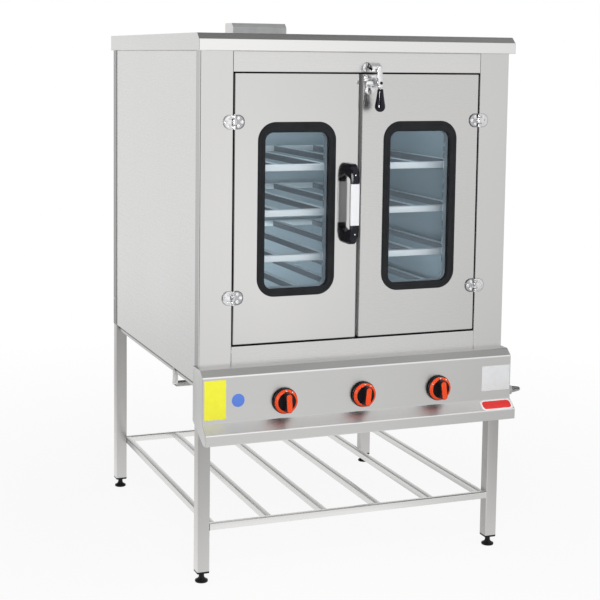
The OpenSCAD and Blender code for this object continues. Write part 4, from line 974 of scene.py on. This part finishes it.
label("yellow_blank", (66.0, 116.0), (-466, 562), 3.0, (0.93, 0.9, 0.04))
label("blue_blank", (39.2, 39.2), (-395.6, 556.6), 19.5, (0.1, 0.23, 0.75))
label("data_plate_blank", (98.0, 78.0), (453, 560.5), 3.0, (0.86, 0.87, 0.88), 0.6, 0.4, 0.3)


def ledge_badge(name, size, radius, lift, color):
    """A flat badge on the sloping ledge: a rounded rectangle drawn about the ledge's middle line, then turned
    so that its face looks along the ledge's normal, (0, -26, 33) over its length."""
    mat = new_finish(name + "_enamel", color, roughness=0.35)
    vary_color(mat, noise(mat, (50, 50, 50), 3.0), tuple(0.94 * c for c in color), color)
    vary_value(mat, "Roughness", noise(mat, (25, 25, 25), 3.0), 0.28, 0.42)
    points, quads, caps, finish = plate(rounded_rects(*size, radius, 6), "y", -lift, 0.0, 0.15)
    slope = math.hypot(33, 26)
    down, out = np.array([0, -33, -26]) / slope, np.array([0, -26, 33]) / slope
    placed = [449.0, (FACE_Y - 580) / 2, 480.0] + points[:, :1] * [1, 0, 0]
    placed = placed - points[:, 2:] * down - points[:, 1:2] * out
    make(name, [(placed, quads, caps, finish)], "oven_frame", [mat])


ledge_badge("white_badge_rim", (108.0, 39.4), 13.0, 0.5, (0.95, 0.94, 0.93))
ledge_badge("red_badge_blank", (97.0, 29.0), 10.0, 0.9, (0.86, 0.03, 0.025))

# %% [markdown]
# ## Knobs
# A knob is a thin black skirt, a drum, a sloping orange ring and a black face from which a finger bar
# stands up 21 mm, with an orange front. A Screw modifier could turn the round parts. Here they are rings
# like everything else, so that the bar, a stack of rounded rectangles that narrow towards the front, joins
# the same mesh.

# %% Knobs and marks
KNOB_BACK, MARK_RADIUS = -552.0, 32.2


def knob(marks):
    """A knob round the origin in x and z, with its parts in the order they stand out from the panel; the last
    number of each row is the height over the knob's back. Its marks are white dots on the ring, given by
    their angles and radii."""
    skirt = [(37.4, 0), (38.3, 0.6), (38.5, 1.8), (38.2, 3.2), (37.2, 4), (36.5, 4.6), (36.1, 6), (36, 9.2),
             (35.2, 10.2), (28.8, 15.8), (27.8, 15.6), (27, 14), (26, 13.6), (6, 13.6)]
    ring = [(36, 9.4), (36, 10.4), (35.4, 11.2), (29.4, 16.7), (28.4, 17), (27.7, 16.3), (27.9, 15),
            (35, 9.4)]
    ridge = [(26, 62, 9, 13), (23, 60, 9, 17), (21, 58, 8.6, 24), (19.6, 57, 8.2, 33), (19, 56.4, 8, 36.2),
             (17.8, 55.2, 7.4, 37.5)]
    strip = [(16.2, 53.6, 6.8, 37), (16.2, 53.6, 6.8, 37.7), (15.4, 52.8, 6.4, 38)]
    skirt, ring, ridge, strip = (from_base(rows, KNOB_BACK, -1) for rows in (skirt, ring, ridge, strip))
    parts = [turned(skirt, "y", n=72), turned(ring, "y", wrap=True, n=72, finish=1)]
    parts += [framed(ridge, "y", wrap=False, n=6), framed(strip, "y", wrap=False, n=6, finish=1)]
    for angle, r in marks:
        a = math.radians(angle)
        spot = plate(round_outline(r, 20), "y", KNOB_BACK - 15.2, KNOB_BACK - 12.6, 0.3, finish=2)
        parts.append(moved(spot, MARK_RADIUS * math.cos(a), 0, MARK_RADIUS * math.sin(a)))
    parts.append(turned([(4, -521), (4, KNOB_BACK)], "y", n=24))
    return parts


def rolled(part, degrees):
    """A part turned about the y axis by an angle, seen clockwise from the front."""
    c, s = math.cos(math.radians(degrees)), math.sin(math.radians(degrees))
    return (part[0] @ np.array([[c, 0, -s], [0, 1, 0], [s, 0, c]]),) + part[1:]


MARKS = [(92, 2.0), (58, 1.8)]
for name, x, tilt in (("left", -252, -3), ("middle", 0, 5), ("right", 252, -7)):
    parts = knob(MARKS + [(148, 1.4)] if name == "right" else MARKS)
    parts = [rolled(p, tilt) if i in (2, 3) else p for i, p in enumerate(parts)]
    make(f"knob_{name}_moulded", [moved(p, x, 0, TAP_Z) for p in parts], f"knob_{name}",
         [black_moulding, orange, white_mark], [f"knob_{name}"])


# %% [markdown]
# ## The gas inlet
# At the panel's right end a threaded nipple takes the gas hose. A Screw modifier could wind its thread, but
# its ends would stay open. Here the thread is a real helix in a closed skin: the radius goes up and down
# with the place along the axis minus the turn, once for each pitch, and fades out at both ends.

# %% Gas inlet
def threaded_nipple(y, z, start, length, radius, pitch=1.8):
    """A tapered thread: over a grid of places along x and angles t, the radius is the outer radius less a
    depth times a triangle wave of (x / pitch - t / turn), fading out at both ends, less the cone's taper."""
    x = np.linspace(start, start + length, 120)[:, None]
    t = np.linspace(0, 2 * np.pi, 40, endpoint=False)
    phase = (x / pitch - t / (2 * np.pi)) % 1
    wave = 1 - np.abs(2 * phase - 1)
    fade = np.clip(np.minimum(x - start, start + length - x) / 3, 0, 1)
    r = radius - 0.9 * fade * wave - 0.9 * np.clip((x - start - length + 2) / 2, 0, 1)
    r = r - 4.4 * np.clip((x - start - 3) / (length - 3), 0, 1) ** 1.3
    rings = np.stack([x + 0 * t, y + r * np.cos(t), z + r * np.sin(t)], -1)
    back = x[::-24]
    bore = np.stack([back + 0 * t, y + 4 * np.cos(t) + 0 * back, z + 4 * np.sin(t) + 0 * back], -1)
    return skin(np.concatenate([rings, bore]), wrap=True)


pipe_y, pipe_z = -515.0, 511.0
inlet = [threaded_nipple(pipe_y, pipe_z, 525.5, 32.5, 10.48)]
sixths = np.radians(np.arange(0, 360, 60))
hexagon = 15.6 * np.stack([np.cos(sixths), np.sin(sixths)], 1)
nut = outline(hexagon + [pipe_y, pipe_z], 0.8, 2)
inlet.append(plate(nut, "x", 510, 526, 1.2))
inlet.append(turned([(11.4, 480), (11.4, 511), (7, 511), (7, 480)], "x", (pipe_y, pipe_z), wrap=True))
make("gas_nipple", inlet, "oven_frame", [leaf_metal], ["gas_inlet"])

# %% [markdown]
# ## The racks
# The racks are welded grids of the same 20 mm tube as the stand. Through the windows their front rails are
# the brightest thing in the chamber, helped by painted light on their front faces. An Array modifier could
# repeat the bars, but a loop over their places is as short and lets each face take its own finish: painted
# light on the front rails' fronts, painted shade on the bars' sides.

# %% Racks
rack_x, rack_y0, rack_y1, bar_pitch, half = 390.0, -425.0, 410.0, 152.0, TUBE / 2
for number, level in enumerate((820, 956, 1092, 1228)):
    front = square_tube("x", (rack_y0 + half, level - half), -rack_x, rack_x)
    back = square_tube("x", (rack_y1 - half, level - half), -rack_x, rack_x)
    # Painted light and shade: the front rail's front face takes a lighter copy of the steel, and each bar's
    # sides a darker one.
    grid = [repainted(front, 1, y=(rack_y0 - 0.1, rack_y0 + 1)), back]
    for x in -rack_x + half + bar_pitch * np.arange(6):
        bar = square_tube("y", (x, level - half), rack_y0 + 19.9, rack_y1 - 19.9)
        for face in (x - half, x + half):
            bar = repainted(bar, 2, x=(face - 0.8, face + 0.8))
        grid.append(bar)
    low, high = node_box(f"rack_{number + 1}")
    print("rack", number + 1, "top", round(high[2]), "drawn at", level)
    make(f"rack_{number + 1}_welded", grid, "oven_frame", [steel_rack, steel_rack_front_painted_light, steel_rack_side_painted_shade],
         [f"rack_{number + 1}"])

# %% [markdown]
# ## Studio
# The photograph was taken in a bright room with a darker ceiling: upright faces mirror the pale walls and
# floor, and only the sloping bands look up into the dark. A photographed panorama could light the oven, but
# a few nodes give the same and can be tuned. So the world is white near the horizon and falls off towards
# the zenith, and a soft lamp stands at the front. Light linking keeps two strip lamps to a few pieces: one
# gives the bright fittings their sparkle, the other draws the streak on the black grip. Two faint lamps
# inside the chamber stand for the light that its bright walls pass on.

# %% World: white near the horizon, dark overhead at the back, and dark at the front left
def computed(tree, operation, *values):
    """A Math node; each value is a number or another node's output."""
    node = tree.nodes.new("ShaderNodeMath")
    node.operation = operation
    for socket, value in zip(node.inputs, values):
        if isinstance(value, float):
            socket.default_value = value
        else:
            tree.links.new(value, socket)
    return node.outputs["Value"]


def stepped(tree, source, stops):
    """A brightness between given stops."""
    ramp = tree.nodes.new("ShaderNodeValToRGB")
    while len(ramp.color_ramp.elements) < len(stops):
        ramp.color_ramp.elements.new(0.5)
    for element, (where, level) in zip(ramp.color_ramp.elements, stops):
        element.position = where
        element.color = (level, level, level, 1)
    tree.links.new(source, ramp.inputs["Fac"])
    return ramp.outputs["Color"]


def room_shade(tree, x, y, depth):
    """How bright the room is in a direction: a little darker to the right, and darker by a given depth at
    the front left, which gives polished fittings something dark to mirror."""
    aside = graded(tree, x, 0.28, 0.55, 1.0, 0.74)
    left = computed(tree, "MULTIPLY", graded(tree, x, -0.12, 0.14, 1.0, 0.0), depth)
    front = graded(tree, y, -0.35, -0.1, 1.0, 0.0)
    dark = computed(tree, "MULTIPLY", left, front)
    return computed(tree, "MULTIPLY", aside, computed(tree, "SUBTRACT", 1.0, dark))


world = bpy.data.worlds.new("studio")
bpy.context.scene.world = world
world.use_nodes = True
tree = world.node_tree
direction = tree.nodes.new("ShaderNodeTexCoord")
split = tree.nodes.new("ShaderNodeSeparateXYZ")
tree.links.new(direction.outputs["Generated"], split.inputs["Vector"])
lean = computed(tree, "MULTIPLY_ADD", split.outputs["Y"], 1.5, 0.75)
overhead = computed(tree, "MULTIPLY", split.outputs["Z"], lean)
SKY = [(0.0, 1.0), (0.35, 1.0), (0.6, 0.74), (0.68, 0.6), (0.76, 0.16), (1.0, 0.08)]
background = tree.nodes["Background"]
shade = room_shade(tree, split.outputs["X"], split.outputs["Y"], 0.88)
rays = tree.nodes.new("ShaderNodeLightPath")
tree.links.new(stepped(tree, overhead, SKY), background.inputs["Color"])
tree.links.new(computed(tree, "MAXIMUM", shade, rays.outputs["Is Camera Ray"]), background.inputs["Strength"])


# %% Floor
def floor_finish():
    """A pale floor that camera, mirror and glass rays see mostly as white: wholly so from 5 m on, and
    near the object in part, so that its soft shadow shows. Mirrors see it as unevenly lit as the room."""
    mat = new_finish("pale_floor", (0.9, 0.9, 0.9), roughness=0.9)
    vary_color(mat, noise(mat, (0.6, 0.6, 0.6), 2.0), (0.9, 0.9, 0.9), (0.92, 0.92, 0.92))
    tree = mat.node_tree
    where = tree.nodes.new("ShaderNodeTexCoord")
    measures = {}
    for operation, output in (("LENGTH", "Value"), ("NORMALIZE", "Vector")):
        node = tree.nodes.new("ShaderNodeVectorMath")
        node.operation = operation
        tree.links.new(where.outputs["Object"], node.inputs[0])
        measures[operation] = node.outputs[output]
    away = tree.nodes.new("ShaderNodeSeparateXYZ")
    tree.links.new(measures["NORMALIZE"], away.inputs["Vector"])
    rays = tree.nodes.new("ShaderNodeLightPath")
    eighths = computed(tree, "DIVIDE", measures["LENGTH"], 8.0)
    lit = stepped(tree, eighths, [(0.1, 1.0), (0.25, 0.8), (0.35, 0.83), (0.525, 0.95), (0.75, 1.0)])
    depth = graded(tree, measures["LENGTH"], 3.0, 5.0, 0.0, 0.88)
    shade = computed(tree, "MULTIPLY", lit, room_shade(tree, away.outputs["X"], away.outputs["Y"], depth))
    less = computed(tree, "MULTIPLY", rays.outputs["Is Glossy Ray"], computed(tree, "SUBTRACT", 1.0, shade))
    glow = tree.nodes.new("ShaderNodeEmission")
    tree.links.new(computed(tree, "SUBTRACT", 1.0, less), glow.inputs["Strength"])
    seen = computed(tree, "MAXIMUM", rays.outputs["Is Camera Ray"], rays.outputs["Is Glossy Ray"])
    seen = computed(tree, "MAXIMUM", seen, rays.outputs["Is Transmission Ray"])
    share = graded(tree, measures["LENGTH"], 0.8, 3.0, 0.9, 1.0)
    mix = tree.nodes.new("ShaderNodeMixShader")
    tree.links.new(computed(tree, "MULTIPLY", seen, share), mix.inputs["Fac"])
    tree.links.new(tree.nodes["Principled BSDF"].outputs["BSDF"], mix.inputs[1])
    tree.links.new(glow.outputs["Emission"], mix.inputs[2])
    tree.links.new(mix.outputs["Shader"], tree.nodes["Material Output"].inputs["Surface"])
    return mat


reach = 40.0
floor_mesh = bpy.data.meshes.new("floor")
corners = [(-reach, -reach, 0), (reach, -reach, 0), (reach, reach, 0), (-reach, reach, 0)]
floor_mesh.from_pydata(corners, [], [(0, 1, 2, 3)])
floor_mesh.materials.append(floor_finish())
floor = bpy.data.objects.new("floor", floor_mesh)
bpy.context.scene.collection.objects.link(floor)


# %% Lamps
def soft_lamp(name, place_at, aim, size, power, mirrored_too=True):
    """A rectangular lamp at a point in metres, turned towards another."""
    data = bpy.data.lights.new(name, "AREA")
    data.shape = "RECTANGLE"
    data.size, data.size_y = size
    data.energy = power
    lamp = bpy.data.objects.new(name, data)
    bpy.context.scene.collection.objects.link(lamp)
    way = Vector(aim) - Vector(place_at)
    lamp.location = place_at
    lamp.rotation_euler = way.to_track_quat("-Z", "Y").to_euler()
    lamp.visible_glossy = mirrored_too
    return lamp


soft_lamp("front_softbox", (-1.2, -3.6, 2.8), (0, 0, 0.9), (2.0, 1.6), 80, False)


def strip_for(name, place_at, size, power, receivers):
    """A strip lamp that only some pieces mirror: light linking does what black flags do in a studio."""
    strip = soft_lamp(name, place_at, (0.04, -0.55, 1.42), size, power)
    strip.visible_diffuse = False
    group = bpy.data.collections.new("lit_by_" + name)
    for piece in receivers:
        group.objects.link(bpy.data.objects[piece])
    strip.light_linking.receiver_collection = group


FITTINGS = ["hinge_wings_on_frame", "left_hinge_wings", "right_hinge_wings", "handle_elbows", "handle_bar",
            "latch_keeper_cast", "latch_base_cast", "latch_lever_cast",
            "knob_left_moulded", "knob_middle_moulded", "knob_right_moulded"]
strip_for("side_strip", (-2.5, -2.6, 1.5), (0.35, 1.6), 36, FITTINGS)
strip_for("streak_strip", (-2.35, -2.75, 1.5), (0.3, 1.3), 300, ["latch_pear_grip"])
for name, low, high, power in (("chamber_glow_high", 1.46, 0.8, 1.3), ("chamber_glow_low", 0.74, 1.05, 1.8)):
    glow = soft_lamp(name, (0, -0.36, low), (0, 0.42, high), (0.7, 0.12), power)
    glow.data.color = (0.82, 0.96, 1.0)
    glow.visible_camera = False
print("world, floor and five lamps")

# %% [markdown]
# ## The camera
# A camera could be moved by eye until its picture looks right. Here it was fitted: 60 points whose places on
# the oven are known were measured in the photograph, and the camera's place, its three turns, the focal
# length and the middle of the lens followed from them by least squares. The last two are in pixels of a
# picture 600 pixels wide, and become Blender's focal length in millimetres and its shift.

# %% Camera at the photograph's angle
YAW, PITCH, ROLL = 20.55, -5.64, 0.61
IMAGE, SENSOR, FOCAL, MIDDLE = 600, 36.0, 1360.64, (263.79, 191.16)
CAMERA_AT = (-1.6864, -4.1825, 1.5464)
yaw, pitch, roll = (math.radians(v) for v in (YAW, PITCH, ROLL))
ahead = np.array([math.sin(yaw) * math.cos(pitch), math.cos(yaw) * math.cos(pitch), math.sin(pitch)])
right = np.array([math.cos(yaw), -math.sin(yaw), 0.0])
up = np.cross(right, ahead)
right, up = math.cos(roll) * right + math.sin(roll) * up, -math.sin(roll) * right + math.cos(roll) * up
camera_data = bpy.data.cameras.new("camera")
camera_data.sensor_width = SENSOR
camera_data.lens = FOCAL / IMAGE * SENSOR
camera_data.shift_x = (IMAGE / 2 - MIDDLE[0]) / IMAGE
camera_data.shift_y = (MIDDLE[1] - IMAGE / 2) / IMAGE
camera = bpy.data.objects.new("camera", camera_data)
bpy.context.scene.collection.objects.link(camera)
pose = np.eye(4)
pose[:3, 0], pose[:3, 1], pose[:3, 2] = right, up, -ahead
pose[:3, 3] = CAMERA_AT
camera.matrix_world = Matrix(pose.tolist())
bpy.context.scene.camera = camera
bpy.context.scene.view_settings.view_transform = "Standard"
print("camera at", CAMERA_AT)
